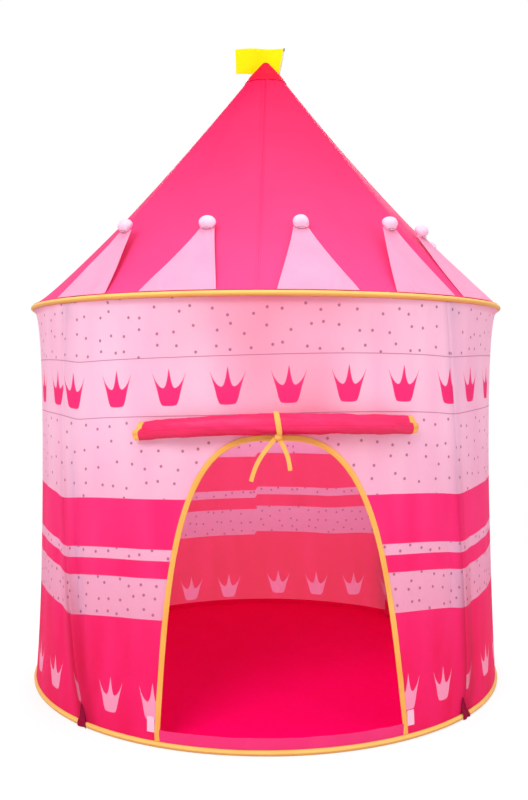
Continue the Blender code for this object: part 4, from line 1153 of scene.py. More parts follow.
def add_door_binding(tape):
    """Tape folded over the doorway's edge, so it lies on both faces of the cloth."""
    outline = door_outline(0.004)
    along = unit(np.gradient(outline, axis=0))
    away = np.stack([-along[:, 1], along[:, 0]], axis=1)
    profile = ((TAPE_WIDTH, 0.0007), (TAPE_WIDTH, 0.0017), (0.006, 0.0021), (0.0006, 0.0018),
               (-0.0012, 0.0010), (-0.0016, 0.0), (-0.0012, -0.0010), (0.0006, -0.0017),
               (0.006, -0.0019), (TAPE_WIDTH, -0.0016), (TAPE_WIDTH, -0.0007), (0.0004, -0.0007),
               (-0.0003, 0.0), (0.0004, 0.0007))
    rings, uv = [], []
    length = 0.0
    for index, (arc, z) in enumerate(outline):
        if index:
            length += math.dist(outline[index - 1], outline[index])
        ring, flat = [], []
        width = 1.0 + 0.035 * float(ripple(length * 60.0, 2.0))
        for across, lift in profile:
            place = (arc + away[index][0] * across * width, z + away[index][1] * across * width)
            azimuth = math.degrees(place[0] / HOOP_RADIUS)
            height = max(WALL_LOW_Z, place[1])
            ring.append(front_point(azimuth, height, lift))
            flat.append((length, across))
        rings.append(ring)
        uv.append(flat)
    piece = loft("doorway_tape", rings, [tape], np.array(uv))
    settle(piece, "root", "edge_tape", "door_binding")


def add_catch_patches():
    """A pale sewn patch beside each foot of the doorway."""
    material = catch_patch_material()
    for name, side in (("door_catch_left", -1.0), ("door_catch_right", 1.0)):
        start = float(door_half_angle(np.float64(CATCH_MIDDLE_Z))) + math.degrees(CATCH_GAP / HOOP_RADIUS)
        end = start + math.degrees(CATCH_WIDTH / HOOP_RADIUS)
        z = rising(CATCH_LOW_Z, CATCH_HIGH_Z, 10, 8)
        azimuth = door_middle(z) + side * crossing(start, end, 10, 8)
        upright_cloth(name, front_point(azimuth, z, CATCH_LIFT), azimuth, z, material, TAPE,
                      "printed_cloth")


# Hoop casings, floor and hoops

def add_casing(name, z, node, tape, pinched):
    """Tape folded round a hoop and sewn shut: a soft tube with small puckers at its stitches."""
    steps, sides = 540, 18
    rings, uv = [], []
    for step in range(steps + 1):
        azimuth = CASING_SEAM_AZIMUTH + CASING_TURN * step / steps
        length = HOOP_RADIUS * math.radians(azimuth)
        pinch = 0.0
        if pinched:
            for pole in POLE_AZIMUTHS:
                away = (azimuth - pole - 0.2 + 180.0) % 360.0 - 180.0
                pinch = max(pinch, math.exp(-(away / 0.55) ** 2))
        ring, flat = [], []
        for side in range(sides):
            angle = 2.0 * math.pi * (side + 0.5) / sides
            pucker = 0.00035 * float(ripple(length * 420.0 + 2.0 * math.cos(angle), 3.0))
            stretch = 1.0 + 0.05 * float(ripple(length * 14.0, 6.0))
            radius = (CASING_RADIUS * 0.97 + pucker * math.cos(angle) ** 2) * (1.0 - 0.35 * pinch)
            across = radius * math.cos(angle) - 0.0018 * pinch
            height = radius * math.sin(angle) * stretch
            height = max(-CASING_RADIUS, min(CASING_RADIUS, height))
            ring.append(surface_point(HOOP_RADIUS + across, azimuth, z + height))
            flat.append((length, angle * CASING_RADIUS))
        rings.append(ring)
        uv.append(flat)
    piece = loft(name, rings, [tape], np.array(uv))
    settle(piece, "root", "edge_tape", node)


def add_hem_tucks():
    """A tuck of cloth over the lower casing at the foot of each crease, coloured near-black red as painted
    shadow in the fold.
    """
    # painted shadow: the tuck is coloured near-black red
    material = plain_cloth_material("hem_tuck_shadow_finish", TUCK_SHADOW_REDS, 0.0, 0.8)
    rows, columns = 26, 15
    height = rising(0.0, 1.0, rows, columns)
    side = crossing(-1.0, 1.0, rows, columns)
    z = TUCK_LOW_Z + (TUCK_HIGH_Z - TUCK_LOW_Z) * height
    over_casing = HOOP_RADIUS + CASING_RADIUS + 0.0010
    over_wall = HOOP_RADIUS + 0.0016
    radius = over_casing + (over_wall - over_casing) * smooth_step(z, 0.009, 0.020)
    radius = radius + 0.0012 * (1.0 - height) * np.sin(np.pi * (side + 1.0))
    radius = radius - 0.0010 * bump_at(side, 0.3, 0.3)
    for name, pole in zip(CORNERS, POLE_AZIMUTHS):
        azimuth = pole + 0.15 + (TUCK_HALF_ANGLE * (1.0 - height) ** 0.8 + 0.06) * side - 0.8 * height
        upright_cloth("hem_tuck_" + name, surface_point(radius, azimuth, z), azimuth, z, material,
                      SMALL_CLOTH, "printed_cloth")


def add_foot_sleeves():
    """A sleeve of wall cloth sewn over each pole's foot, inside."""
    material = plain_cloth_material("foot_sleeve_finish", SLEEVE_PINKS, 0.1)
    rows, columns = 14, 31
    side = crossing(-1.0, 1.0, rows, columns)
    z = rising(0.0030, SLEEVE_TOP_Z, rows, columns)
    inward = -0.0100 + 0.0195 * np.exp(-(side / 0.55) ** 2)
    radius = FOOT_RADIUS - inward
    inside_sheet = np.where(z < 0.0145, SLEEVE_REACH_LOW, SLEEVE_REACH_HIGH)
    radius = np.minimum(radius, inside_sheet)
    for name, pole in zip(CORNERS, POLE_AZIMUTHS):
        azimuth = pole + np.degrees(SLEEVE_HALF_WIDTH * side / FOOT_RADIUS)
        upright_cloth("foot_sleeve_" + name, surface_point(radius, azimuth, z), azimuth, z, material,
                      SMALL_CLOTH, "printed_cloth")


def add_ground_sheet():
    """The ground sheet: shallow wrinkles in the middle, and an edge that turns up over the hoop's casing."""
    material = plain_cloth_material("ground_cloth_finish", FLOOR_REDS, 0.0, 0.8, gloss=0.05)
    steps = 180
    azimuth = np.linspace(0.0, 360.0, steps, endpoint=False)
    upper, lower = [], []
    for radius in np.linspace(0.004, FLAT_SHEET_RADIUS, 44):
        place = surface_point(radius, azimuth, 0.0)
        wave = ripple(place[:, 0] * 17.0 + 0.8 * ripple(place[:, 1] * 9.0, 1.0), 2.0)
        wave = wave * ripple(place[:, 1] * 13.0, 6.0)
        fade = math.sin(math.pi * min(1.0, radius / FLAT_SHEET_RADIUS)) ** 0.6
        upper.append(surface_point(radius, azimuth, 0.0009 + 0.0016 * np.clip(wave, 0.0, 1.0) * fade))
        lower.append(surface_point(radius, azimuth, 0.0))
    for side, edge_line in ((upper, SHEET_EDGE_INSIDE), (lower, SHEET_EDGE_OUTSIDE)):
        side.extend(surface_point(radius, azimuth, z) for radius, z in edge_line)
    rings = np.array(upper + lower[::-1])
    piece = loft("ground_cloth", rings, [material], rings[..., :2])
    settle(piece, "root", "floor_cloth", "floor_sheet")


# Roof

def between_roof_poles(azimuth):
    turn = (azimuth - TOP_TWIST - POLE_AZIMUTHS[0]) % BAY
    return np.sin(np.pi * turn / BAY)


def roof_radius(azimuth, rise):
    hollow = np.clip(rise, 0.0, 1.0) ** 0.45 * np.maximum(0.0, 1.0 - (rise / ROOF_SAG_END) ** 2)
    return HOOP_RADIUS * (1.0 - rise) - ROOF_SAG * between_roof_poles(azimuth) * hollow


def roof_normal(azimuth):
    return outward(azimuth) * ROOF_OUTWARD + np.array([0.0, 0.0, ROOF_UPWARD])


def roof_point(azimuth, rise, lift=0.0):
    azimuth = np.asarray(azimuth, float)
    rise = np.asarray(rise, float)
    z = ROOF_LOW_Z + (APEX_Z - ROOF_LOW_Z) * rise
    lift = np.asarray(lift, float)
    return surface_point(roof_radius(azimuth, rise), azimuth, z) + roof_normal(azimuth) * lift[..., None]


def roof_folds(azimuth, rise):
    """Faint pulls that run up from the hoop and along the poles."""
    fade = np.sin(np.pi * np.clip(rise, 0.0, 1.0)) ** 0.8
    pull = ripple(np.radians(azimuth) * 13.0 + 3.0 * rise, 7.0) * fade
    gathers = ripple(np.radians(azimuth) * 110.0, 4.0) * np.exp(-rise / 0.02) * np.minimum(1.0, rise * 120.0)
    clear = smooth_step(between_roof_poles(azimuth), 0.03, 0.25)
    return (ROOF_PULL * pull + ROOF_GATHER * gathers) * clear


def add_roof(material):
    """Four panels that meet in sewn seams half-way between the poles."""
    columns, rows = 97, 120
    for corner, pole in zip(CORNERS, POLE_AZIMUTHS):
        start = pole + TOP_TWIST - BAY / 2
        share = crossing(0.0, 1.0, rows, columns)
        rise = ROOF_TOP_SHARE * rising(0.0, 1.0, rows, columns) ** 1.15
        radius = roof_radius(start, rise)
        inset = np.degrees(0.00015 / radius)
        azimuth = start + inset + (BAY - 2.0 * inset) * share
        seam = np.minimum(share, 1.0 - share) * BAY
        from_seam = np.radians(seam) * np.maximum(radius, 0.02)
        tuck = -0.0011 * np.exp(-(from_seam / 0.0012) ** 2) + 0.0005 * bump_at(from_seam, 0.005, 0.003)
        middle = roof_point(azimuth, rise, roof_folds(azimuth, rise) + tuck)
        uv = np.stack([from_seam, rise * SLANT], axis=-1)
        piece = cloth_solid("roof_panel_" + corner, middle, uv, [material], normals=roof_normal(azimuth))
        settle(piece, "root", "roof_cloth", "roof_" + corner)


def add_roof_point():
    """A doubled cone of cloth over the point, its hem eased in with small gathers."""
    material = tip_material()
    columns, rows = 145, 26
    azimuth = crossing(0.0, 360.0, rows, columns)
    rise = TIP_LOW_SHARE + (TIP_HIGH_SHARE - TIP_LOW_SHARE) * rising(0.0, 1.0, rows, columns) ** 0.8
    height = (rise - TIP_LOW_SHARE) / (1.0 - TIP_LOW_SHARE)
    gathers = 0.0005 * ripple(np.radians(azimuth) * 9.0, 3.0) * np.exp(-height / 0.25)
    gathers[:, -1] = gathers[:, 0]
    lift = CAD_CLOTH * 1.25 + gathers
    outer = roof_point(azimuth, rise, lift)
    rounding = 0.006 * smooth_step(height, 0.86, 1.0) ** 2
    outer[..., 2] -= rounding
    inner = roof_point(azimuth, rise, np.full_like(rise, CAD_CLOTH * 0.75))
    inner[..., 2] -= rounding
    columns -= 1
    rings = [outer[row, :-1] for row in range(rows)][::-1] + [inner[row, :-1] for row in range(rows)]
    top_outer = rings[0].mean(axis=0) + np.array([0.0, 0.0, 0.0009])
    top_inner = rings[-1].mean(axis=0) + np.array([0.0, 0.0, 0.0004])
    points = np.concatenate([np.concatenate(rings), [top_outer], [top_inner]])
    faces = ring_faces(2 * rows, columns)
    last = (2 * rows - 1) * columns
    apex = len(points) - 2
    for column in range(columns):
        after = (column + 1) % columns
        faces.append((after, column, apex))
        faces.append((last + column, last + after, apex + 1))
    uv = points[:, :2] * 1.4
    piece = link_piece("roof_point_cloth", points, faces, [material], None, uv)
    settle(piece, "root", "tip_cloth", "roof_tip")


# Pennants

def pennant_azimuths():
    places = [place for place in range(FIRST_PENNANT_PLACE, FIRST_PENNANT_PLACE + PENNANT_PLACES)
              if place != EMPTY_PENNANT_PLACE]
    pitch = 360.0 / PENNANT_PLACES
    return [MIDDLE_PENNANT_AZIMUTH + pitch * place + shift for place, shift in zip(places, PENNANT_SHIFTS)]


def pennant_half_width(share):
    taper = np.clip(1.0 - share, 0.0, 1.0) ** PENNANT_CURVE
    return PENNANT_TIP / 2 + (PENNANT_BASE - PENNANT_TIP) / 2 * taper


def pennant_place(azimuth, lean, share, side):
    """Azimuth and rise of a point share along the flap and side (-1 to 1) across it."""
    rise = share * PENNANT_SLANT / SLANT
    turn = np.degrees(side * pennant_half_width(share) / (HOOP_RADIUS * (1.0 - rise)))
    return azimuth + lean * share + turn, rise


def pennant_tip_radius(azimuth, lean):
    """The least radius of the tip at which the straight flap clears the roof all over."""
    share = np.linspace(0.0, 1.0, 25)[1:, None]
    side = np.linspace(-1.0, 1.0, 17)[None, :]
    place, rise = pennant_place(azimuth, lean, share, side)
    inward = HOOP_RADIUS - roof_radius(place, rise) - 2.0 * CLEARANCE
    return float(np.max(HOOP_RADIUS - inward / share))


def add_pennant(number, azimuth, lean, cloth, stuffed, thread):
    """A flap that lies over the roof's hollow, and the stuffed ball sewn to its tip."""
    body = "pennant_%02d" % number
    tip_radius = pennant_tip_radius(azimuth, lean)
    share = rising(FLAP_START_SHARE, FLAP_END_SHARE, 34, 29)
    side = crossing(-1.0, 1.0, 34, 29)
    place, rise = pennant_place(azimuth, lean, share, side * (FLAP_FOOT_WIDTH + FLAP_WIDENING * share))
    radius = HOOP_RADIUS + (tip_radius - HOOP_RADIUS) * share
    hem = (1.0 - np.abs(side)) * pennant_half_width(share)
    swell = FLAP_SWELL * np.clip(ripple(5.0 * share + 3.0 * side, number), 0.0, 1.0)
    swell = swell * np.sqrt(np.sin(np.pi * np.clip(share, 0.0, 1.0)))
    roll = FLAP_HEM_ROLL * bump_at(hem, 0.0016, 0.0016)
    facing = side if number % 2 else -side
    fold = bump_at(facing - 1.1 * share, 0.52, 0.09) + 0.7 * bump_at(facing - 1.5 * share, 0.20, 0.07)
    fold = FLAP_FOLD * fold * (1.0 - smooth_step(share, 0.10, 0.32)) * smooth_step(share, 0.0, 0.03)
    lift = PENNANT_LIFT + PENNANT_TIP_LIFT * share ** 3 + swell + roll + fold
    z = ROOF_LOW_Z + (APEX_Z - ROOF_LOW_Z) * rise
    middle = surface_point(radius, place, z) + roof_normal(place) * lift[..., None]
    uv = np.stack([hem, share * PENNANT_SLANT], axis=-1)
    flap = cloth_solid(body + "_flap", middle, uv, [cloth], FLAP_CLOTH, normals=roof_normal(place))
    settle(flap, body, "printed_cloth", body)
    add_pennant_ball(number, azimuth + lean, tip_radius, stuffed, thread)


def add_pennant_ball(number, azimuth, tip_radius, cloth, thread):
    """A small stuffed ball, squarer than a sphere, gathered to a stitched neck."""
    body = "pennant_%02d" % number
    tip_rise = (PENNANT_SLANT + BALL_REACH) / SLANT
    z = ROOF_LOW_Z + (APEX_Z - ROOF_LOW_Z) * tip_rise
    up = roof_normal(np.float64(azimuth))
    centre = surface_point(tip_radius, azimuth, z) + up * (CAD_CLOTH / 2 + CLEARANCE + BALL_RADIUS)
    side = unit(np.cross(up, outward(np.float64(azimuth))))
    along = unit(np.cross(side, up))
    along = along if along[2] > 0.0 else -along
    rings = []
    for level in np.linspace(-1.0, 1.0, 21):
        angle = level * math.pi / 2 * 0.97
        width = math.cos(angle) ** 0.55
        neck = 1.0 - 0.20 * math.exp(-((level + 0.88) / 0.16) ** 2)
        ring = []
        for turn in round_angles(26):
            gather = 1.0 + 0.07 * math.sin(7.0 * turn + number) * math.exp(-((level + 0.75) / 0.5) ** 2)
            lump = 1.0 + 0.06 * math.sin(2.0 * turn + 1.3 * number + 2.0 * level)
            reach = BALL_RADIUS * width * neck * gather * lump
            flat = 0.88 if math.sin(turn) < 0.0 else 1.0
            tall = BALL_RADIUS * math.sin(angle) * (0.94 + 0.06 * math.sin(turn + number))
            sag = up * (BALL_SAG * max(0.0, -level) ** 2) + along * 0.0015
            ring.append(centre + along * tall + side * (reach * 1.26 * math.cos(turn))
                        + up * (reach * flat * 0.94 * math.sin(turn)) - sag)
        rings.append(ring)
    ball = loft(body + "_ball", rings, [cloth])
    settle(ball, body, "printed_cloth")
    add_neck_thread(body, centre, along, side, up, thread)


def add_neck_thread(body, centre, along, side, up, thread):
    """The dark thread wound round the ball's neck."""
    rings = []
    for turn in round_angles(40):
        out = side * math.cos(turn) + up * (0.30 * math.sin(turn))
        middle = centre - along * (BALL_RADIUS * 1.02 + 0.0015) - up * BALL_SAG
        middle = middle + out * (BALL_RADIUS * 0.66)
        rings.append([middle + unit(out) * (THREAD_RADIUS * math.cos(angle))
                      + along * (THREAD_RADIUS * math.sin(angle)) for angle in round_angles(6)])
    piece = loft(body + "_thread", rings, [thread], closed=True)
    settle(piece, body, "printed_cloth")


def add_pennants():
    cloth = plain_cloth_material("pennant_cloth_finish", PENNANT_PINKS, 0.3, hem=PENNANT_STITCH_INSET)
    thread = plain_cloth_material("neck_thread_finish", THREAD_PURPLES, 0.0, 0.8)
    stuffed = plain_cloth_material("stuffed_ball_finish", BALL_PINKS, 0.15)
    for number, (azimuth, lean) in enumerate(zip(pennant_azimuths(), PENNANT_LEANS), start=1):
        add_pennant(number, azimuth, lean, cloth, stuffed, thread)


# Rolled door and tie

def roll_centre(azimuth):
    """The roll's centre line: it drops a little towards each end."""
    azimuth = np.asarray(azimuth, float)
    left = ROLL_LEFT_DROOP * (azimuth / ROLL_LEFT) ** 2
    right = ROLL_RIGHT_DROOP * (azimuth / ROLL_RIGHT) ** 2
    droop = np.where(azimuth < 0.0, left, right)
    radius = HOOP_RADIUS - wall_waist(ROLL_HEIGHT) * bay_share(azimuth) + ROLL_STAND_OFF
    return surface_point(radius, azimuth, ROLL_HEIGHT - droop)


def bay_share(azimuth):
    """How far between the two front poles an azimuth lies at the roll's height: 0 at a pole."""
    turn = (azimuth - twist(ROLL_HEIGHT) - POLE_AZIMUTHS[0]) % BAY
    return np.sin(np.pi * turn / BAY)


def roll_section(azimuth, angle, radius):
    """A point round the roll, which is a little taller than deep and flattened near its ends."""
    azimuth = float(azimuth)
    depth = 1.0 - ROLL_END_FLATTENING * float(smooth_step(abs(azimuth), 19.0, 29.0))
    taller = 1.0 + ROLL_SWELL * (1.0 - (azimuth / 30.0) ** 2)
    across = radius * math.cos(angle) * depth - ROLL_RADIUS * (1.0 - depth)
    rise = radius * math.sin(angle) * taller + ROLL_RAISE
    return roll_centre(azimuth) + outward(np.float64(azimuth)) * across + np.array([0.0, 0.0, rise])


def low_side(angle):
    """1 on the roll's lower side and 0 on its upper side, where the outer turn ends further in."""
    return 0.5 - 0.5 * math.tanh(ROLL_TURN_SHARPNESS * math.sin(angle - ROLL_TURN_ANGLE))


def add_door_roll(cloth, tape):
    """The wound door: a spiral of cloth whose turns end at different places."""
    edge = math.degrees(ROLL_EDGE / HOOP_RADIUS)
    steps, sides = 150, 40
    rings, uv = [], []
    for step in range(steps + 1):
        share = step / steps
        ring, flat = [], []
        for angle in round_angles(sides):
            left_end = ROLL_LEFT_END - ROLL_OVERHANG + edge + 1.0 * (1.0 - low_side(angle))
            right_end = ROLL_RIGHT_END + ROLL_OVERHANG - edge - 0.9 * (1.0 - low_side(angle))
            azimuth = left_end + (right_end - left_end) * share
            twist_angle = angle - 0.55 + 0.010 * azimuth
            flap = 0.0016 * (((twist_angle / (2.0 * math.pi)) % 1.0) - 0.5)
            furrow = -0.0018 * abs(math.sin(1.5 * angle + 0.06 * azimuth)) ** 14
            lumps = 0.0007 * float(ripple(azimuth * 0.55 + 2.0 * math.sin(angle), 4.0))
            wrinkle = 0.0003 * float(ripple(azimuth * 2.6 + 5.0 * angle, 9.0))
            diagonal = 0.0006 * float(ripple(azimuth * 0.9 + 3.4 * angle, 6.0))
            radius = ROLL_RADIUS - 0.0009 + flap + furrow + lumps + wrinkle + diagonal
            ring.append(roll_section(azimuth, angle, radius))
            flat.append((HOOP_RADIUS * math.radians(azimuth), angle * ROLL_RADIUS))
        rings.append(ring)
        uv.append(flat)
    roll = loft("wound_door_cloth", rings, [cloth], np.array(uv))
    settle(roll, "rolled_door", "roof_cloth", "door_roll")
    for side_name, end, turn in (("left", ROLL_LEFT_END - ROLL_OVERHANG, 1.0),
                                 ("right", ROLL_RIGHT_END + ROLL_OVERHANG, -1.0)):
        rings = []
        for share in np.linspace(0.0, 1.0, 9):
            ring = []
            tucked = 0.0165 * max(0.0, share - 0.70) + 0.001 * (share < 0.05)
            for angle in round_angles(sides):
                azimuth = end + turn * ((1.0 - low_side(angle)) * 0.95 + edge * (share * 1.4))
                radius = ROLL_RADIUS - 0.0010 + 0.0005 * math.sin(2.0 * angle) - tucked
                ring.append(roll_section(azimuth, angle, radius))
            rings.append(ring)
        centre = np.mean(rings[0], axis=0)
        along = np.array([math.cos(math.radians(end)), math.sin(math.radians(end)), 0.0])
        cap = []
        for level in (0.75, 0.5, 0.28, 0.1):
            sink = 0.0015 * math.sin(9.0 * level)
            cap.insert(0, [centre + (np.asarray(point) - centre) * level + along * turn * sink
                           for point in rings[0]])
        piece = loft("wound_door_edge_" + side_name, cap + rings, [tape])
        settle(piece, "rolled_door", "edge_tape", "door_edge_binding_" + side_name)


def add_door_curtain(cloth):
    """The door's cloth from its seam on the wall to the roll."""
    rows, columns = 90, 110
    azimuth = crossing(ROLL_LEFT + CURTAIN_LEFT_INSET, ROLL_RIGHT - CURTAIN_RIGHT_INSET, rows, columns)
    share = rising(0.0, 1.0, rows, columns)
    z = CURTAIN_LOW + (CURTAIN_HIGH - CURTAIN_LOW) * share
    radius = HOOP_RADIUS - wall_waist(z) * bay_share(azimuth) + CURTAIN_STAND_OFF
    middle = surface_point(radius, azimuth, z)
    flat = flat_place(azimuth, z * CURTAIN_STRETCH)
    piece = cloth_solid("door_upper_cloth", middle, flat, [cloth], SMALL_CLOTH,
                        normals=outward(azimuth))
    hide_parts("door_curtain")
    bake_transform(piece)


def tie_axes():
    """The tie's directions: out from the wall, up, and along the roll."""
    out = outward(np.float64(TIE_AZIMUTH))
    up = np.array([0.0, 0.0, 1.0])
    return out, up, unit(np.cross(up, out))


def follow_roll(piece, node):
    """Hide the node that the piece stands for and fix the piece where it lies."""
    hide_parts(node)
    _, up, _ = tie_axes()
    top = roll_centre(TIE_AZIMUTH) + up * (ROLL_RADIUS + 0.0030)
    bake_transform(piece)


def tail_path(reach, start):
    """The middle line of a tail: it leaves the knot downwards and swings out to one side."""
    _, up, along = tie_axes()
    first = roll_centre(TIE_AZIMUTH) - up * TAIL_START_DROP + along * (start * (TAIL_WIDTH + 2.0 * CLEARANCE))
    span = np.array([reach[0], reach[1], 0.0])
    path = []
    for share in np.linspace(0.0, 1.0, 25):
        sideways = share + 0.18 * math.sin(math.pi * share)
        point = first + span * sideways + up * (reach[2] * share)
        point[1] -= TAIL_BEND * math.sin(math.pi * share)
        path.append(point)
    return path


def add_tie_band(tape):
    """The tape round the roll, drawn in where the knot pulls it together."""
    _, _, along = tie_axes()
    rings = []
    for angle in round_angles(48):
        lean = along * (0.0010 - 0.0033 * math.sin(angle))
        squeeze = 1.0 - 0.30 * bump_at(angle, 1.5 * math.pi, 0.5)
        ring = []
        for across, lift in ((-0.5, 0.0), (-0.42, 0.0009), (0.0, 0.0011), (0.42, 0.0009), (0.5, 0.0),
                             (0.42, -0.0004), (0.0, -0.0003), (-0.42, -0.0004)):
            ring.append(roll_section(TIE_AZIMUTH, angle, ROLL_RADIUS + 0.0009 + lift)
                        + along * (TIE_WIDTH * across * squeeze) + lean)
        rings.append(ring)
    strap = loft("tie_band", rings, [tape], closed=True)
    follow_roll(strap, "tie_strap")


def add_tie_knot(tape):
    """The knot: a small lump with the tape's turns wrapped over it."""
    out, up, along = tie_axes()
    centre = roll_centre(TIE_AZIMUTH) - up * KNOT_TUCKED_DROP + out * 0.0020 + along * 0.0018
    rings = []
    for level in np.linspace(-0.98, 0.98, 17):
        tall = math.sin(level * math.pi / 2)
        wide = math.cos(level * math.pi / 2) ** 0.6
        ring = []
        for turn in round_angles(28):
            wrap = 1.0 - 0.14 * abs(math.sin(2.5 * turn + 2.4 * level)) ** 6
            ring.append(centre + up * (KNOT_SIZE[2] * 0.95 * tall)
                        + along * (KNOT_SIZE[0] * wide * wrap * math.cos(turn))
                        + out * (KNOT_SIZE[1] * wide * wrap * math.sin(turn)))
        rings.append(ring)
    knot = loft("tie_bow_knot", rings, [tape])
    follow_roll(knot, "tie_knot")


def add_tie_tail(name, node, reach, start, tape):
    """One flat end of the tie."""
    path = tail_path(reach, start)
    rings = []
    for index, point in enumerate(path):
        before = path[max(0, index - 1)]
        after = path[min(len(path) - 1, index + 1)]
        down = unit(after - before)
        across = unit(np.cross(np.array([0.0, 1.0, 0.0]), down))
        thick = unit(np.cross(down, across))
        share = index / (len(path) - 1)
        cup = 0.0006 * math.sin(math.pi * share)
        ring = []
        for side, lift in ((-0.5, 0.0), (-0.44, 0.00055), (0.0, 0.0004), (0.44, 0.00055), (0.5, 0.0),
                           (0.44, -0.00055), (0.0, -0.0005), (-0.44, -0.00055)):
            raised = lift + cup * (1.0 - 4.0 * side * side)
            ring.append(point + across * (TAIL_WIDTH * side) + thick * raised)
        rings.append(ring)
    piece = loft(name, rings, [tape])
    follow_roll(piece, node)


# Flag

def add_flag():
    """A small flag on its leaning stick, gathered a little towards its free end."""
    material = plain_cloth_material("flag_cloth_finish", FLAG_YELLOWS, 0.5, whiter=0.0, gloss=0.06)
    foot = roof_point(STICK_AZIMUTH, STICK_FOOT_SHARE, STICK_STAND_OFF)
    foot = foot + np.array([0.0, 0.0, STICK_RADIUS * ROOF_OUTWARD / ROOF_UPWARD])
    lean = math.radians(STICK_LEAN)
    along = np.array([math.sin(lean), 0.0, math.cos(lean)])
    top = foot + along * STICK_LENGTH
    droop = math.radians(FLAG_DROOP)
    fly = np.array([-math.cos(droop), 0.0, -math.sin(droop)])
    rows, columns = 24, 44
    across = crossing(0.0, 1.0, rows, columns)[..., None]
    up_share = rising(0.0, 1.0, rows, columns)[..., None]
    hoist = top - along * (CLEARANCE + FLAG_HOIST * (1.0 - up_share))
    wave = FLAG_WAVE * np.sin(2.2 * math.pi * across) * np.minimum(1.0, 4.0 * across)
    wave = wave + 0.0008 * ripple(6.0 * up_share + 5.0 * across, 3.0) * across
    reach = 1.0 - FLAG_GATHER * across * (1.0 - 0.75 * up_share)
    lift = np.array([0.0, 0.0, FLAG_LIFT]) * across
    middle = hoist + fly * (STICK_RADIUS + CLEARANCE + FLAG_LENGTH * across * reach) + lift
    middle = middle + np.array([0.0, 1.0, 0.0]) * wave
    sag = 0.0016 * np.sin(math.pi * across) * (1.0 - up_share) * np.sin(6.0 * across + 1.0)
    middle = middle + np.array([0.0, 0.0, 1.0]) * sag
    uv = np.concatenate([across * FLAG_LENGTH, up_share * FLAG_HOIST], axis=-1)
    piece = cloth_solid("yellow_flag", middle, uv, [material], FLAG_CLOTH)
    settle(piece, "flag", "flag_cloth", "flag")


def finish_frame_nodes():
    """Give each CAD node that no piece stands for its material."""
    finishes = ((steel_material(), ("top_hoop", "bottom_hoop")),
                (pole_material(), ("wall_pole_", "roof_pole_")),
                (moulded_material(), ("pole_elbow_", "foot_pocket_", "apex_hub")),
                (stick_material(), ("flag_stick",)))
    for name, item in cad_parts.items():
        node = bpy.data.objects.get(name) if isinstance(item, dict) else item
        for material, starts in finishes:
            if name.startswith(starts) and not name.endswith("_casing"):
                node.data.materials.clear()
                node.data.materials.append(material)


# Camera, floor and light

def add_camera():
    camera = bpy.data.cameras.new("photo_camera")
    camera.sensor_fit = "AUTO"
    camera.sensor_width = SENSOR_WIDTH
    camera.lens = FOCAL_PIXELS * SENSOR_WIDTH / IMAGE_HEIGHT
    camera.shift_x = -(AXIS_PIXEL_X - IMAGE_WIDTH / 2) / IMAGE_HEIGHT
    item = bpy.data.objects.new("photo_camera", camera)
    bpy.context.scene.collection.objects.link(item)
    item.location = Vector(surface_point(CAMERA_DISTANCE, CAMERA_AZIMUTH, CAMERA_HEIGHT))
    item.rotation_euler = (math.radians(90.0 + CAMERA_PITCH), 0.0, math.radians(CAMERA_AZIMUTH))
    bpy.context.scene.camera = item


def add_area_light(name, place, aim, size, power):
    light = bpy.data.lights.new(name, "AREA")
    light.shape = "RECTANGLE"
    light.size, light.size_y = size
    light.energy = power
    item = bpy.data.objects.new(name, light)
    bpy.context.scene.collection.objects.link(item)
    item.location = place
    item.rotation_euler = (Vector(aim) - Vector(place)).to_track_quat("-Z", "Y").to_euler()


def add_studio():
    """A white backdrop, even light from all round and four soft lamps."""
    graph = Graph("studio", world=True)
    bpy.context.scene.world = graph.owner
    ambient = graph.node("ShaderNodeBackground", {"Color": WHITE, "Strength": AMBIENT_STRENGTH})
    backdrop = graph.node("ShaderNodeBackground", {"Color": WHITE, "Strength": 1.0})
    graph.show(graph.blend(graph.seen(), ambient, backdrop))
    for lamp in LAMPS:
        add_area_light(*lamp)


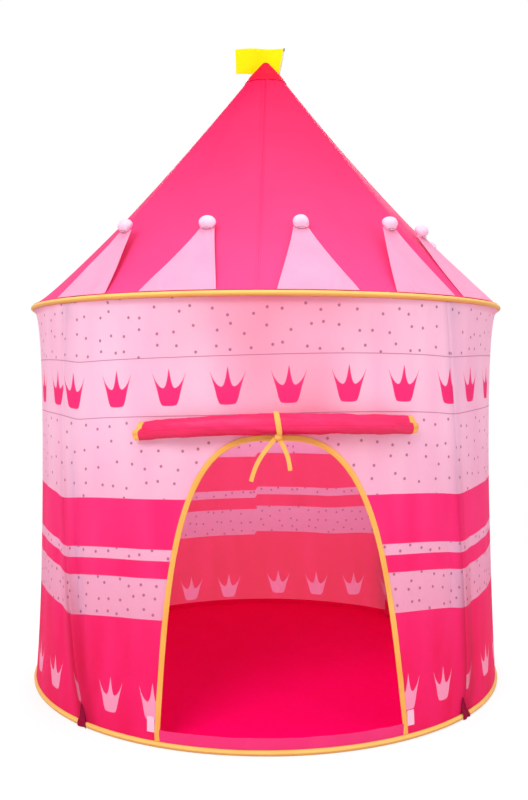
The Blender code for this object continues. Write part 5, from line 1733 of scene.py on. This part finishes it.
def add_studio_floor():
    """A pale floor that shows as white and still takes the tent's shadow."""
    graph = Graph("studio_floor")
    plain = graph.node("ShaderNodeBsdfDiffuse", {"Color": FLOOR_GREY})
    shadowed = graph.node("ShaderNodeBsdfDiffuse", {"Color": SHADOWED_GREY})
    glow = graph.node("ShaderNodeEmission", {"Color": WHITE, "Strength": FLOOR_GLOW})
    both = graph.node("ShaderNodeAddShader", {0: shadowed.outputs[0], 1: glow.outputs[0]})
    white = graph.node("ShaderNodeEmission", {"Color": WHITE, "Strength": 1.0})
    distance = graph.node("ShaderNodeVectorMath", {0: graph.place()}, operation="LENGTH").outputs["Value"]
    near, gone = FLOOR_FADE
    far = graph.node("ShaderNodeMapRange", {"Value": distance, "From Min": near, "From Max": gone},
                     interpolation_type="SMOOTHSTEP").outputs[0]
    graph.show(graph.blend(graph.seen(), plain, graph.blend(far, both, white)))
    signs = ((-1.0, -1.0), (1.0, -1.0), (1.0, 1.0), (-1.0, 1.0))
    points = [(FLOOR_HALF_SIZE * x, FLOOR_HALF_SIZE * y, FLOOR_Z) for x, y in signs]
    mesh = bpy.data.meshes.new("studio_floor")
    mesh.from_pydata(points, [], [(0, 1, 2, 3)])
    mesh.materials.append(graph.owner)
    floor = bpy.data.objects.new("studio_floor", mesh)
    bpy.context.scene.collection.objects.link(floor)


def build_scene():
    bpy.context.scene.view_settings.view_transform = "Standard"
    add_camera()
    tail_tape = tape_material("tie_tail_tape", colour_shift=0.2)
    add_tie_tail("tie_end_long", "tie_tail_long", LONG_TAIL_REACH, -0.5, tail_tape)
    add_tie_tail("tie_end_short", "tie_tail_short", SHORT_TAIL_REACH, 0.5, tail_tape)

    add_walls()
    add_sill()
    edge_tape = tape_material("doorway_tape_finish", DOOR_STITCH_ROWS)
    add_door_binding(edge_tape)
    add_catch_patches()
    # the hoop casing gets painted shade on its lower side
    hoop_tape = tape_material("casing_tape_finish", CASING_STITCH_ROWS, 0.60, True)
    add_casing("upper_casing_tape", HIGH_HOOP_Z, "top_hoop_casing", hoop_tape, False)
    add_casing("lower_casing_tape", LOW_HOOP_Z, "bottom_hoop_casing", hoop_tape, True)
    add_hem_tucks()
    add_foot_sleeves()
    add_ground_sheet()
    add_roof(roof_material())
    add_roof_point()
    add_pennants()
    roll_cloth = plain_cloth_material("door_cloth_finish", ROLL_PINKS, 0.1, 0.5, whiter=0.1, gloss=0.3)
    add_door_roll(rolled_cloth_material(), edge_tape)
    add_door_curtain(roll_cloth)
    add_tie_band(tail_tape)
    add_tie_knot(tail_tape)
    add_flag()
    finish_frame_nodes()
    add_studio()
    add_studio_floor()


build_scene()
